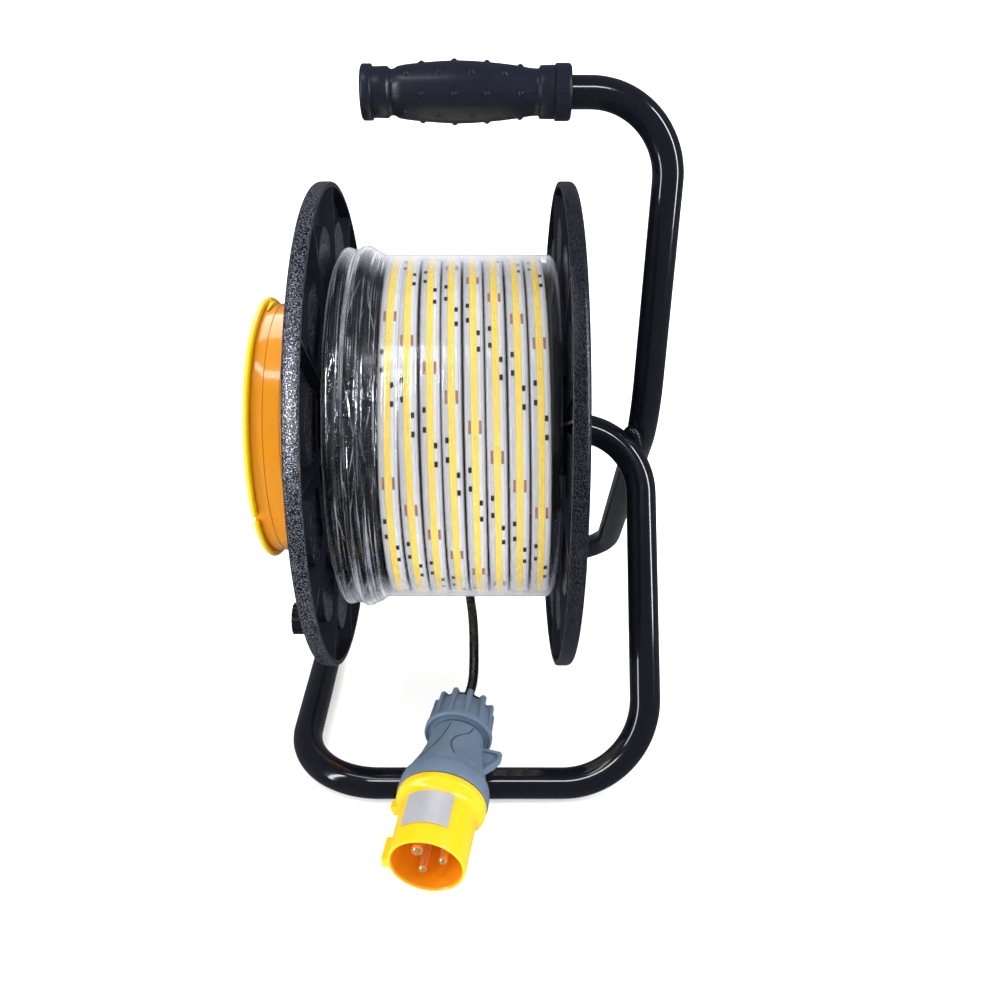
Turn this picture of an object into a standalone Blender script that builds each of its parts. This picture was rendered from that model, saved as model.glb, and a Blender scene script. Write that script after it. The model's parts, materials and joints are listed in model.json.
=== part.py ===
"""LED strip light wound on a carrying reel: a ribbed plastic drum on a bent steel tube stand.

Units are metres. X runs along the axle, Y to the back and Z up, with the floor at Z = 0.
Everything is laid out from the point of the floor under the axle, and one parent empty then
brings the middle of the whole reel to the origin.
"""
import math

import bmesh
import bpy
from mathutils import Matrix, Vector, geometry

# Clearances
GAP = 0.0003
TURNING_GAP = 0.0006
END_PLAY = 0.0005

# Drum, measured from the camera-side reference line along the axle
DRUM_LEFT = -0.0990
FLANGE_RADIUS = 0.160
FLANGE_WIDTH = 0.0098
FLANGE_WEB = 0.0026
RIM_WALL = 0.0032
RIM_ROUND = 0.0034
RIM_LIP = 0.0010
HUB_RADIUS = 0.019
RIB_COUNT = 12
RIB_THICKNESS = 0.0018
PAD_INNER = 0.100
PAD_OUTER = 0.1385
PAD_HEIGHT = 0.0058
PAD_START_DEG = 3.0
PAD_SWEEP_DEG = 21.0
PAD_ARCH = 0.28
FLANGE_SEGMENTS = 60
BARREL_RADIUS = 0.062
BARREL_WALL = 0.003
BARREL_SEGMENTS = 40

# Winding
STRIP_TURNS = 8
STRIP_PITCH = 0.01267
STRIP_RADIUS = 0.1142
STRIP_START = 0.0350
STRIP_END_ROOM = 0.00714
TURN_GROOVE = 0.0009
TURN_GROOVE_HALF = 0.0008
WINDING_SEGMENTS = 44
CABLE_START = 0.0035
CABLE_HUMPS = (0.0118, 0.0090, 0.0098)
CABLE_RISES = (0.0046, 0.0028, 0.0056)
CABLE_GROOVE = 0.0012
FILM_THICKNESS = 0.0005
FILM_MARGIN = 0.0016

# Yellow hub cover
COVER_RADIUS = 0.0875
COVER_HEIGHT = 0.0375
COVER_WALL = 0.0024
COVER_WALL_RADIUS = 0.0832
COVER_BRIM = 0.0042
COVER_FACE_SINK = 0.0060
COVER_NOTCH = 0.0042
COVER_NOTCH_DEGS = (97.0, -20.8)
COVER_SEGMENTS = 52

# Knob that winds the drum
KNOB_ORBIT = 0.141
KNOB_DEG = -34.5
KNOB_RADIUS = 0.0098
KNOB_LENGTH = 0.0090
KNOB_RIBS = 16
KNOB_RIB_DEPTH = 0.0008
KNOB_PIN_RADIUS = 0.0035
KNOB_WALL = 0.0022

# Stand of one bent steel tube
TUBE_RADIUS = 0.010
TUBE_SIDES_RESOLUTION = 5
GROUND_CLEARANCE = 0.0492
HAND_CLEARANCE = 0.0508
STAND_FRONT = 0.1260
STAND_BACK = 0.1940
LEFT_SIDE_CLEARANCE = 0.0170
RIGHT_SIDE_CLEARANCE = 0.0490
UPRIGHT_OUT = 0.0017
BACK_CORNER_OUT = 0.0050
HANDLE_OUT = 0.0120
HANDLE_BACK = 0.0230
JUNCTION_RISE = 0.0070
AXLE_BEND = 0.045
FLOOR_BEND = 0.055
JUNCTION_BEND = 0.060
HANDLE_BEND = 0.050
BEND_STEP_DEG = 11.0
WELD_GAP = 0.0006
WELD_RADIUS = 0.0062
AXLE_STUB = 0.0020
AXLE_CAP_RADIUS = 0.0150
AXLE_CAP_THICKNESS = 0.0040

# Moulded grip, as lengths along it and radii
GRIP_LENGTH = 0.1282
GRIP_TO_BEND = 0.0147
GRIP_END_WALL = 0.0030
GRIP_SEGMENTS = 28
GRIP_FLANGE = 0.0164
GRIP_COLLAR = 0.0151
GRIP_NECK = 0.0134
GRIP_BELLY = 0.0181

# Industrial plug, stations measured back from its mouth
SHROUD_RADIUS = 0.0225
SHROUD_WALL = 0.0022
SHROUD_DEPTH = 0.0380
SHROUD_LENGTH = 0.0450
RING_RADIUS = 0.0272
RING_WIDTH = 0.0050
KEY_LENGTH = 0.0160
KEY_WIDTH = 0.0070
KEY_HEIGHT = 0.0036
KEY_DEG = 185.0
NUB_WIDTH = 0.0075
NUB_HEIGHT = 0.0032
NUB_DEG = 192.0
COLLAR_RADIUS = 0.0278
COLLAR_LENGTH = 0.0125
WAIST_STATION = 0.0850
WAIST_RADIUS = 0.0176
NECK_RADIUS = 0.0168
NUT_STATION = 0.0965
NUT_LENGTH = 0.0225
NUT_RADIUS = 0.0219
NUT_BODY_RADIUS = 0.0196
NUT_BACK_RADIUS = 0.0178
NUT_RIBS = 12
NUT_RIB_WIDTH = 0.0030
NUT_RIB_HEIGHT = 0.0015
THREAD_RADIUS = 0.0145
THREAD_LENGTH = 0.0150
EAR_STATION = 0.0785
EAR_REACH = 0.0125
EAR_LENGTH = 0.0230
EAR_THICKNESS = 0.0060
EAR_DEG = -8.0
PIN_CIRCLE = 0.0090
PIN_RECESS = 0.0025
EARTH_PIN_RADIUS = 0.0034
LIVE_PIN_RADIUS = 0.0024
PIN_DEGS = {"pin_earth": 129.0, "pin_line": 248.0, "pin_neutral": 8.0}
LABEL_LENGTH = 0.0225
LABEL_STATION = 0.0120
LABEL_DEG = 98.0
LABEL_SWEEP_DEG = 72.0
LABEL_THICKNESS = 0.0003
PLUG_REACH = 0.0930
PLUG_LIFT = 0.0075
PLUG_LEFT = -0.0349
PLUG_YAW_DEG = 9.3
PLUG_SEAT_GAP = 0.0005

# Lead from the winding to the plug
CORD_RADIUS = 0.00325
CORD_RESOLUTION = 2
CORD_STEP = 0.0075

# Values that follow from the ones above
STRIP_LEFT = DRUM_LEFT + STRIP_START
STRIP_RIGHT = STRIP_LEFT + STRIP_TURNS * STRIP_PITCH
DRUM_RIGHT = STRIP_RIGHT + STRIP_END_ROOM
AXLE_HEIGHT = FLANGE_RADIUS + GROUND_CLEARANCE
HANDLE_HEIGHT = AXLE_HEIGHT + FLANGE_RADIUS + HAND_CLEARANCE
FLANGE_LEFT_FACE = DRUM_LEFT - FLANGE_WIDTH
FLANGE_RIGHT_FACE = DRUM_RIGHT + FLANGE_WIDTH
LEFT_TUBE_X = FLANGE_LEFT_FACE - LEFT_SIDE_CLEARANCE
FORK_X = FLANGE_RIGHT_FACE + RIGHT_SIDE_CLEARANCE
HUB_BORE = TUBE_RADIUS + TURNING_GAP
GRIP_LEFT = FORK_X + HANDLE_OUT - HANDLE_BEND - GRIP_TO_BEND - GRIP_LENGTH
COIL_BORE = BARREL_RADIUS + GAP

COLORS = {
    "steel_black": ((0.012, 0.013, 0.017), 0.18, 0.2),
    "grip_plastic": ((0.018, 0.022, 0.032), 0.42, 0.0),
    "drum_plastic": ((0.016, 0.018, 0.023), 0.45, 0.0),
    "led_strip": ((0.86, 0.80, 0.55), 0.30, 0.0),
    "cable_black": ((0.015, 0.016, 0.020), 0.35, 0.0),
    "clear_film": ((0.90, 0.92, 0.95), 0.10, 0.0),
    "cover_yellow": ((0.95, 0.50, 0.01), 0.28, 0.0),
    "plug_grey": ((0.13, 0.19, 0.27), 0.45, 0.0),
    "plug_yellow": ((0.98, 0.62, 0.01), 0.32, 0.0),
    "pin_brass": ((0.80, 0.58, 0.26), 0.22, 1.0),
    "label_silver": ((0.50, 0.50, 0.53), 0.38, 0.6),
}


def clear_scene():
    for thing in list(bpy.data.objects):
        bpy.data.objects.remove(thing, do_unlink=True)
    for group in list(bpy.data.collections):
        bpy.data.collections.remove(group)


def new_collection(name):
    group = bpy.data.collections.new(name)
    bpy.context.scene.collection.children.link(group)
    return group


def material(slot):
    found = bpy.data.materials.get(slot)
    if found:
        return found
    color, roughness, metallic = COLORS[slot]
    made = bpy.data.materials.new(slot)
    made.use_nodes = True
    shader = made.node_tree.nodes["Principled BSDF"]
    shader.inputs["Base Color"].default_value = (*color, 1.0)
    shader.inputs["Roughness"].default_value = roughness
    shader.inputs["Metallic"].default_value = metallic
    return made


def link(thing, group, parent=None):
    group.objects.link(thing)
    thing.parent = parent
    return thing


def mesh_object(name, mesh, group, parent=None):
    return link(bpy.data.objects.new(name, mesh), group, parent)


def empty(name, group, parent, location=(0.0, 0.0, 0.0)):
    guide = link(bpy.data.objects.new(name, None), group, parent)
    guide.location = location
    guide.empty_display_size = 0.02
    return guide


def bake(thing):
    """Replace the object's mesh by its evaluated one, with its modifiers applied."""
    bpy.context.view_layer.update()
    graph = bpy.context.evaluated_depsgraph_get()
    baked = bpy.data.meshes.new_from_object(thing.evaluated_get(graph))
    thing.modifiers.clear()
    thing.data = baked
    return thing


def finish_surface(thing, slot, sharp_deg=35.0):
    thing.data.materials.clear()
    thing.data.materials.append(material(slot))
    thing.data.shade_smooth()
    thing.data.set_sharp_from_angle(angle=math.radians(sharp_deg))
    return thing


def turned(name, profile, segments, group, parent, ring=True):
    """Turn a profile of (radius, height) points about local Z.

    The profile runs down the outer side and back up the inner side.
    """
    mesh = bpy.data.meshes.new(name)
    count = len(profile)
    edges = [(i, i + 1) for i in range(count - 1)]
    if ring:
        edges.append((count - 1, 0))
    mesh.from_pydata([(radius, 0.0, height) for radius, height in profile], edges, [])
    thing = mesh_object(name, mesh, group, parent)
    screw = thing.modifiers.new("turn", "SCREW")
    screw.axis = "Z"
    screw.steps = segments
    screw.render_steps = segments
    screw.use_merge_vertices = not ring
    screw.merge_threshold = 0.00001
    return bake(thing)


def hide_cutter(cutter):
    cutter.hide_render = True
    cutter.display_type = "WIRE"
    return cutter


def combine(thing, cutter, operation):
    """Join the cutter to the object or cut it away, then drop the cutter's own object."""
    hide_cutter(cutter)
    change = thing.modifiers.new(operation.lower(), "BOOLEAN")
    change.operation = operation
    change.solver = "EXACT"
    change.object = cutter
    bake(thing)
    bpy.data.objects.remove(cutter, do_unlink=True)
    return thing


def box_mesh(name, low, high):
    """A box between two corners, as mesh data."""
    shape = bmesh.new()
    size = Vector(high) - Vector(low)
    middle = (Vector(high) + Vector(low)) / 2
    bmesh.ops.create_cube(shape, size=1.0, matrix=Matrix.Translation(middle) @ Matrix.Diagonal((*size, 1.0)))
    mesh = bpy.data.meshes.new(name)
    shape.to_mesh(mesh)
    shape.free()
    return mesh


def spun_copies(name, source, angles, group, parent):
    """One object holding a copy of the mesh at each angle about local Z."""
    shape = bmesh.new()
    for angle in angles:
        start = len(shape.verts)
        shape.from_mesh(source)
        shape.verts.ensure_lookup_table()
        bmesh.ops.rotate(
            shape, verts=shape.verts[start:], cent=(0.0, 0.0, 0.0), matrix=Matrix.Rotation(angle, 3, "Z")
        )
    mesh = bpy.data.meshes.new(name)
    shape.to_mesh(mesh)
    shape.free()
    return mesh_object(name, mesh, group, parent)


def outline_prism(name, points, low, high, group, parent):
    """A flat outline extruded along local Z from low to high."""
    curve = bpy.data.curves.new(name, "CURVE")
    curve.dimensions = "2D"
    curve.fill_mode = "BOTH"
    curve.extrude = (high - low) / 2
    spline = curve.splines.new("POLY")
    spline.points.add(len(points) - 1)
    for point, (x, y) in zip(spline.points, points):
        point.co = (x, y, 0.0, 1.0)
    spline.use_cyclic_u = True
    guide = link(bpy.data.objects.new(name + "_outline", curve), group, parent)
    thing = curve_to_mesh(guide, name, group, parent)
    for vert in thing.data.vertices:
        vert.co.z += (high + low) / 2
    return thing


def curve_to_mesh(guide, name, group, parent):
    """Make a mesh object of a curve, with its loose caps welded on."""
    bpy.context.view_layer.update()
    graph = bpy.context.evaluated_depsgraph_get()
    mesh = bpy.data.meshes.new_from_object(guide.evaluated_get(graph))
    mesh.name = name
    shape = bmesh.new()
    shape.from_mesh(mesh)
    bmesh.ops.remove_doubles(shape, verts=shape.verts, dist=0.000001)
    bmesh.ops.recalc_face_normals(shape, faces=shape.faces)
    shape.to_mesh(mesh)
    shape.free()
    place = guide.matrix_local.copy()
    curve = guide.data
    bpy.data.objects.remove(guide, do_unlink=True)
    bpy.data.curves.remove(curve)
    thing = mesh_object(name, mesh, group, parent)
    thing.matrix_local = place
    return thing


def tube(name, points, radius, resolution, group, parent):
    curve = bpy.data.curves.new(name, "CURVE")
    curve.dimensions = "3D"
    curve.bevel_depth = radius
    curve.bevel_resolution = resolution
    curve.use_fill_caps = True
    spline = curve.splines.new("POLY")
    spline.points.add(len(points) - 1)
    for point, place in zip(spline.points, points):
        point.co = (*place, 1.0)
    guide = link(bpy.data.objects.new(name + "_route", curve), group, parent)
    return curve_to_mesh(guide, name, group, parent)


def bend_points(before, corner, after, radius):
    """Points of the arc that rounds one corner of a bent tube."""
    arriving = (corner - before).normalized()
    leaving = (after - corner).normalized()
    turn = arriving.angle(leaving)
    start = corner - arriving * radius * math.tan(turn / 2)
    inward = (leaving - arriving * arriving.dot(leaving)).normalized()
    count = max(2, round(math.degrees(turn) / BEND_STEP_DEG))
    points = []
    for step in range(count + 1):
        angle = turn * step / count
        points.append(start + arriving * radius * math.sin(angle) + inward * radius * (1 - math.cos(angle)))
    return points


def stand_corners(junction_y):
    """Corner points of the stand's centre line, and the bend radius at each."""
    axle_end = FLANGE_LEFT_FACE - END_PLAY - AXLE_STUB
    upright_x = FORK_X + UPRIGHT_OUT
    handle_x = FORK_X + HANDLE_OUT
    grip_end = GRIP_LEFT + GRIP_END_WALL + GAP
    return [
        (Vector((axle_end, 0.0, AXLE_HEIGHT)), 0.0),
        (Vector((FORK_X, 0.0, AXLE_HEIGHT)), AXLE_BEND),
        (Vector((FORK_X, -STAND_FRONT, TUBE_RADIUS)), FLOOR_BEND),
        (Vector((LEFT_TUBE_X, -STAND_FRONT, TUBE_RADIUS)), FLOOR_BEND),
        (Vector((LEFT_TUBE_X, STAND_BACK, TUBE_RADIUS)), FLOOR_BEND),
        (Vector((FORK_X + BACK_CORNER_OUT, STAND_BACK, TUBE_RADIUS)), FLOOR_BEND),
        (Vector((upright_x, junction_y, AXLE_HEIGHT + JUNCTION_RISE)), JUNCTION_BEND),
        (Vector((handle_x, HANDLE_BACK, HANDLE_HEIGHT)), HANDLE_BEND),
        (Vector((grip_end, HANDLE_BACK, HANDLE_HEIGHT)), 0.0),
    ]


def stand_bends(junction_y):
    corners = stand_corners(junction_y)
    bends = []
    for index in range(1, len(corners) - 1):
        places = [corners[index + side][0] for side in (-1, 0, 1)]
        bends.append(bend_points(*places, corners[index][1]))
    return corners[0][0], bends, corners[-1][0]


def nearest_pair(first, second):
    return min(((a, b) for a in first for b in second), key=lambda pair: (pair[0] - pair[1]).length)


def seated_junction():
    """How far back the upright stands, so that it just touches the fork where they are welded."""
    touching = 2 * TUBE_RADIUS + WELD_GAP
    near, far = -2 * TUBE_RADIUS, 6 * TUBE_RADIUS
    for _ in range(30):
        middle = (near + far) / 2
        _, bends, _ = stand_bends(middle)
        fork, upright = nearest_pair(bends[0], bends[5])
        if (fork - upright).length < touching:
            near = middle
        else:
            far = middle
    return far


def stand_route():
    start, bends, end = stand_bends(seated_junction())
    return [start] + [point for bend in bends for point in bend] + [end]


def make_stand(group, cutters, parent):
    points = stand_route()
    _, bends, _ = stand_bends(seated_junction())
    stand = tube("stand_tube", points, TUBE_RADIUS, TUBE_SIDES_RESOLUTION, group, parent)
    fork, upright = nearest_pair(bends[0], bends[5])
    middle = (fork + upright) / 2
    across = (upright - fork).normalized()
    bead_shape = bmesh.new()
    bmesh.ops.create_uvsphere(bead_shape, u_segments=12, v_segments=8, radius=WELD_RADIUS)
    bead_mesh = bpy.data.meshes.new("weld_bead")
    bead_shape.to_mesh(bead_mesh)
    bead_shape.free()
    bead = mesh_object("weld_bead", bead_mesh, cutters, parent)
    bead.location = middle
    bead.rotation_euler = across.to_track_quat("Z", "Y").to_euler()
    bead.scale = (1.0, 1.0, 0.75)
    combine(stand, bead, "UNION")
    return finish_surface(stand, "steel_black", 40.0)


def make_grip(group, parent):
    """The grip's closed end is at local Z = 0 and the tube leaves it at its full length."""
    bore = TUBE_RADIUS + GAP
    stations = [
        (0.0000, GRIP_FLANGE - 0.0010),
        (0.0010, GRIP_FLANGE),
        (0.0066, GRIP_FLANGE),
        (0.0072, GRIP_COLLAR),
        (0.0168, GRIP_COLLAR),
        (0.0182, GRIP_NECK),
        (0.0212, GRIP_NECK),
        (0.0230, GRIP_COLLAR),
        (0.0330, 0.0164),
        (0.0480, 0.0175),
        (0.0600, GRIP_BELLY),
        (0.0730, 0.0175),
        (0.0880, 0.0164),
        (0.0990, GRIP_COLLAR),
        (0.1030, GRIP_NECK + 0.0006),
        (0.1110, GRIP_NECK + 0.0002),
        (0.1124, GRIP_COLLAR + 0.0003),
        (0.1214, GRIP_COLLAR + 0.0006),
        (0.1222, GRIP_FLANGE + 0.0003),
        (0.1308, GRIP_FLANGE + 0.0003),
        (0.1318, GRIP_FLANGE - 0.0007),
    ]
    scale = GRIP_LENGTH / stations[-1][0]
    outer = [(radius, along * scale) for along, radius in reversed(stations)]
    profile = outer + [(0.0, 0.0)]
    profile = [(0.0, GRIP_END_WALL), (bore, GRIP_END_WALL), (bore, GRIP_LENGTH)] + profile
    grip = turned("handle_grip", profile, GRIP_SEGMENTS, group, parent, ring=False)
    grip.location = (GRIP_LEFT, HANDLE_BACK, HANDLE_HEIGHT)
    grip.rotation_euler = (0.0, math.radians(90), 0.0)
    return finish_surface(grip, "grip_plastic")


def flange_profile():
    """Local Z = 0 is the rim's inner plane and FLANGE_WIDTH the outer face."""
    web = FLANGE_WIDTH - FLANGE_WEB
    rim = FLANGE_RADIUS - RIM_WALL
    return [
        (FLANGE_RADIUS - RIM_ROUND, FLANGE_WIDTH),
        (FLANGE_RADIUS - 0.3 * RIM_ROUND, FLANGE_WIDTH - 0.3 * RIM_ROUND),
        (FLANGE_RADIUS, FLANGE_WIDTH - RIM_ROUND),
        (FLANGE_RADIUS, RIM_LIP),
        (FLANGE_RADIUS - RIM_LIP, 0.0),
        (rim, 0.0),
        (rim, web),
        (HUB_RADIUS, web),
        (HUB_RADIUS, 0.0),
        (HUB_BORE, 0.0),
        (HUB_BORE, FLANGE_WIDTH),
    ]


def flange_ribs(name, cutters, parent):
    web = FLANGE_WIDTH - FLANGE_WEB
    low = (BARREL_RADIUS + 0.002, -RIB_THICKNESS / 2, 0.0)
    high = (FLANGE_RADIUS - RIM_WALL / 2, RIB_THICKNESS / 2, web + FLANGE_WEB / 2)
    rib = box_mesh(name, low, high)
    angles = [2 * math.pi * i / RIB_COUNT for i in range(RIB_COUNT)]
    return spun_copies(name, rib, angles, cutters, parent)


def flange_pads(name, cutters, parent):
    """Raised arched pads between the ribs, one in each pocket."""
    web = FLANGE_WIDTH - FLANGE_WEB
    first = math.radians(PAD_START_DEG)
    last = math.radians(PAD_START_DEG + PAD_SWEEP_DEG)
    outline = []
    arch = 5
    for step in range(arch + 1):
        share = step / arch
        angle = first + (last - first) * share
        swell = math.sin(math.pi * share)
        radius = PAD_OUTER - (PAD_OUTER - PAD_INNER) * PAD_ARCH * (1 - swell)
        outline.append((radius * math.cos(angle), radius * math.sin(angle)))
    for angle in (last, first):
        outline.append((PAD_INNER * math.cos(angle), PAD_INNER * math.sin(angle)))
    outline.reverse()
    prism = outline_prism(name, outline, web - PAD_HEIGHT, web + FLANGE_WEB / 2, cutters, parent)
    angles = [2 * math.pi * i / RIB_COUNT for i in range(RIB_COUNT)]
    pads = spun_copies(name + "_set", prism.data, angles, cutters, parent)
    bpy.data.objects.remove(prism, do_unlink=True)
    return pads


def make_flange(name, plane_x, outward, group, cutters, parent, spin_deg):
    """A drum end: rim, web, hub, ribs and pads. outward is +1 for the right end, -1 for the left."""
    flange = turned(name, flange_profile(), FLANGE_SEGMENTS, group, parent)
    combine(flange, flange_ribs(name + "_ribs", cutters, parent), "UNION")
    combine(flange, flange_pads(name + "_pads", cutters, parent), "UNION")
    if outward < 0:
        pin = knob_pin(cutters, parent, spin_deg)
        combine(flange, pin, "UNION")
    flange.location = (plane_x, 0.0, 0.0)
    turn = Matrix.Rotation(math.radians(90 * outward), 4, "Y") @ Matrix.Rotation(math.radians(spin_deg), 4, "Z")
    flange.rotation_euler = turn.to_euler()
    return finish_surface(flange, "drum_plastic")


def knob_place():
    """The knob's centre in the drum's plane, as (y, z) about the axle."""
    angle = math.radians(KNOB_DEG)
    return -KNOB_ORBIT * math.cos(angle), KNOB_ORBIT * math.sin(angle)


def knob_pin(cutters, parent, spin_deg):
    """The pin on the left flange that the knob turns on, in the flange's own frame."""
    y, z = knob_place()
    flat = Vector((0.0, y, z))
    turn = Matrix.Rotation(math.radians(-90), 4, "Y") @ Matrix.Rotation(math.radians(spin_deg), 4, "Z")
    local = turn.inverted() @ flat
    length = KNOB_LENGTH - KNOB_WALL - END_PLAY
    shape = bmesh.new()
    low = FLANGE_WIDTH - FLANGE_WEB / 2
    high = FLANGE_WIDTH + length
    bmesh.ops.create_cone(
        shape,
        cap_ends=True,
        segments=16,
        radius1=KNOB_PIN_RADIUS,
        radius2=KNOB_PIN_RADIUS,
        depth=high - low,
        matrix=Matrix.Translation((local.x, local.y, (low + high) / 2)),
    )
    mesh = bpy.data.meshes.new("knob_pin")
    shape.to_mesh(mesh)
    shape.free()
    return mesh_object("knob_pin", mesh, cutters, parent)


def make_knob(group, cutters, parent):
    """A round knob with ribs along it, blind-bored for its pin. Local Z points away from the drum."""
    outline = []
    for index in range(KNOB_RIBS * 2):
        angle = math.pi * index / KNOB_RIBS
        radius = KNOB_RADIUS - (KNOB_RIB_DEPTH if index % 2 else 0.0)
        outline.append((radius * math.cos(angle), radius * math.sin(angle)))
    knob = outline_prism("crank_knob", outline, 0.0, KNOB_LENGTH, group, parent)
    bore = KNOB_PIN_RADIUS + TURNING_GAP
    shape = bmesh.new()
    depth = KNOB_LENGTH - KNOB_WALL
    bmesh.ops.create_cone(
        shape,
        cap_ends=True,
        segments=20,
        radius1=bore,
        radius2=bore,
        depth=2 * depth,
    )
    mesh = bpy.data.meshes.new("knob_bore")
    shape.to_mesh(mesh)
    shape.free()
    combine(knob, mesh_object("knob_bore", mesh, cutters, parent), "DIFFERENCE")
    knob.rotation_euler = (0.0, math.radians(-90), 0.0)
    return finish_surface(knob, "drum_plastic", 30.0)


def make_barrel(group, parent):
    web = FLANGE_WIDTH - FLANGE_WEB - GAP
    low = DRUM_LEFT - web
    high = DRUM_RIGHT + web
    inner = BARREL_RADIUS - BARREL_WALL
    profile = [(BARREL_RADIUS, high), (BARREL_RADIUS, low), (inner, low), (inner, high)]
    barrel = turned("drum_barrel", profile, BARREL_SEGMENTS, group, parent)
    barrel.rotation_euler = (0.0, math.radians(90), 0.0)
    return finish_surface(barrel, "drum_plastic")


def strip_profile():
    """Outer side from right to left with a groove between turns, then the bore."""
    outer = []
    for turn in range(STRIP_TURNS, 0, -1):
        edge = STRIP_LEFT + turn * STRIP_PITCH
        outer.append((STRIP_RADIUS - TURN_GROOVE, edge))
        outer.append((STRIP_RADIUS, edge - TURN_GROOVE_HALF))
        outer.append((STRIP_RADIUS, edge - STRIP_PITCH + TURN_GROOVE_HALF))
    outer.append((STRIP_RADIUS - TURN_GROOVE, STRIP_LEFT))
    return outer + [(COIL_BORE, STRIP_LEFT), (COIL_BORE, STRIP_RIGHT)]


def cable_profile():
    """The lead is wound beside the strip in uneven humps."""
    right = STRIP_LEFT - GAP
    left = DRUM_LEFT + CABLE_START
    scale = (right - left) / sum(CABLE_HUMPS)
    outer = []
    edge = right
    for width, rise in zip(CABLE_HUMPS, CABLE_RISES):
        span = width * scale
        radius = STRIP_RADIUS + rise
        outer.append((radius - CABLE_GROOVE, edge))
        outer.append((radius, edge - 0.25 * span))
        outer.append((radius, edge - 0.75 * span))
        edge -= span
    outer.append((STRIP_RADIUS + CABLE_RISES[-1] - 2 * CABLE_GROOVE, left))
    return outer + [(COIL_BORE, left), (COIL_BORE, right)]


def film_profile():
    """A thin sleeve that lies over the strip and steps up over the wound lead."""
    over_strip = STRIP_RADIUS + GAP
    over_cable = STRIP_RADIUS + max(CABLE_RISES) + GAP
    right = DRUM_RIGHT - FILM_MARGIN
    left = DRUM_LEFT + CABLE_START
    step_right = STRIP_LEFT + 0.004
    step_left = STRIP_LEFT
    inner = [(over_cable, left), (over_cable, step_left), (over_strip, step_right), (over_strip, right)]
    outer = [(radius + FILM_THICKNESS, along) for radius, along in reversed(inner)]
    return outer + inner


def make_winding(group, parent):
    pieces = (
        ("strip_coil", strip_profile(), "led_strip"),
        ("cable_coil", cable_profile(), "cable_black"),
        ("stretch_film", film_profile(), "clear_film"),
    )
    for name, profile, slot in pieces:
        ring = turned(name, profile, WINDING_SEGMENTS, group, parent)
        ring.rotation_euler = (0.0, math.radians(90), 0.0)
        finish_surface(ring, slot)


def make_cover(group, cutters, parent):
    """The yellow cup over the left hub. Local Z = 0 is its seat and points away from the drum."""
    top = COVER_HEIGHT
    face = top - COVER_FACE_SINK
    wall = COVER_WALL_RADIUS
    profile = [
        (0.0, face),
        (wall - 0.003, face),
        (wall - 0.001, top - 0.0012),
        (wall, top),
        (COVER_RADIUS - 0.001, top),
        (COVER_RADIUS, top - 0.001),
        (COVER_RADIUS, top - COVER_BRIM + 0.001),
        (COVER_RADIUS - 0.001, top - COVER_BRIM),
        (wall, top - COVER_BRIM - 0.001),
        (wall - 0.001, 0.0),
        (wall - 0.001 - COVER_WALL, 0.0),
        (wall - 0.0006 - COVER_WALL, face - COVER_WALL),
        (0.0, face - COVER_WALL),
    ]
    cover = turned("hub_cover", profile, COVER_SEGMENTS, group, parent, ring=False)
    half = COVER_NOTCH / 2
    low = (wall + 0.0006, -half, top - COVER_BRIM - 0.004)
    high = (COVER_RADIUS + 0.003, half, top + 0.002)
    notch = box_mesh("cover_notch", low, high)
    angles = [cover_angle(degrees) for degrees in COVER_NOTCH_DEGS]
    combine(cover, spun_copies("cover_notches", notch, angles, cutters, parent), "DIFFERENCE")
    cover.location = (FLANGE_LEFT_FACE - GAP, 0.0, 0.0)
    cover.rotation_euler = (0.0, math.radians(-90), 0.0)
    return finish_surface(cover, "cover_yellow")


def cover_angle(degrees):
    """Local angle about Z of a direction given in degrees up from the front."""
    y = -math.cos(math.radians(degrees))
    z = math.sin(math.radians(degrees))
    local = Matrix.Rotation(math.radians(-90), 3, "Y").inverted() @ Vector((0.0, y, z))
    return math.atan2(local.y, local.x)


def make_axle_cap(group, parent):
    """The cap on the axle's left end, which keeps the drum on."""
    inner = TUBE_RADIUS + GAP
    face = AXLE_STUB + GAP
    profile = [
        (0.0, AXLE_CAP_THICKNESS),
        (AXLE_CAP_RADIUS - 0.001, AXLE_CAP_THICKNESS),
        (AXLE_CAP_RADIUS, AXLE_CAP_THICKNESS - 0.001),
        (AXLE_CAP_RADIUS, 0.0),
        (inner, 0.0),
        (inner, face),
        (0.0, face),
    ]
    cap = turned("axle_cap", profile, 24, group, parent, ring=False)
    cap.location = (FLANGE_LEFT_FACE - END_PLAY, 0.0, AXLE_HEIGHT)
    cap.rotation_euler = (0.0, math.radians(-90), 0.0)
    return finish_surface(cap, "drum_plastic")


def body_radius(station):
    """Radius of the grey plug body at a distance back from the mouth."""
    points = body_stations()
    for (near, near_radius), (far, far_radius) in zip(points, points[1:]):
        if near <= station <= far:
            share = (station - near) / (far - near)
            return near_radius + (far_radius - near_radius) * share
    return NECK_RADIUS


def body_stations():
    start = SHROUD_LENGTH + GAP
    collar = start + COLLAR_LENGTH
    return [
        (start, COLLAR_RADIUS - 0.0008),
        (start + 0.0010, COLLAR_RADIUS),
        (collar - 0.0015, COLLAR_RADIUS - 0.0010),
        (collar, COLLAR_RADIUS - 0.0022),
        (collar + 0.35 * (WAIST_STATION - collar), WAIST_RADIUS + 0.0042),
        (collar + 0.65 * (WAIST_STATION - collar), WAIST_RADIUS + 0.0017),
        (WAIST_STATION, WAIST_RADIUS),
        (NUT_STATION - 0.0016, NECK_RADIUS),
    ]


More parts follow.
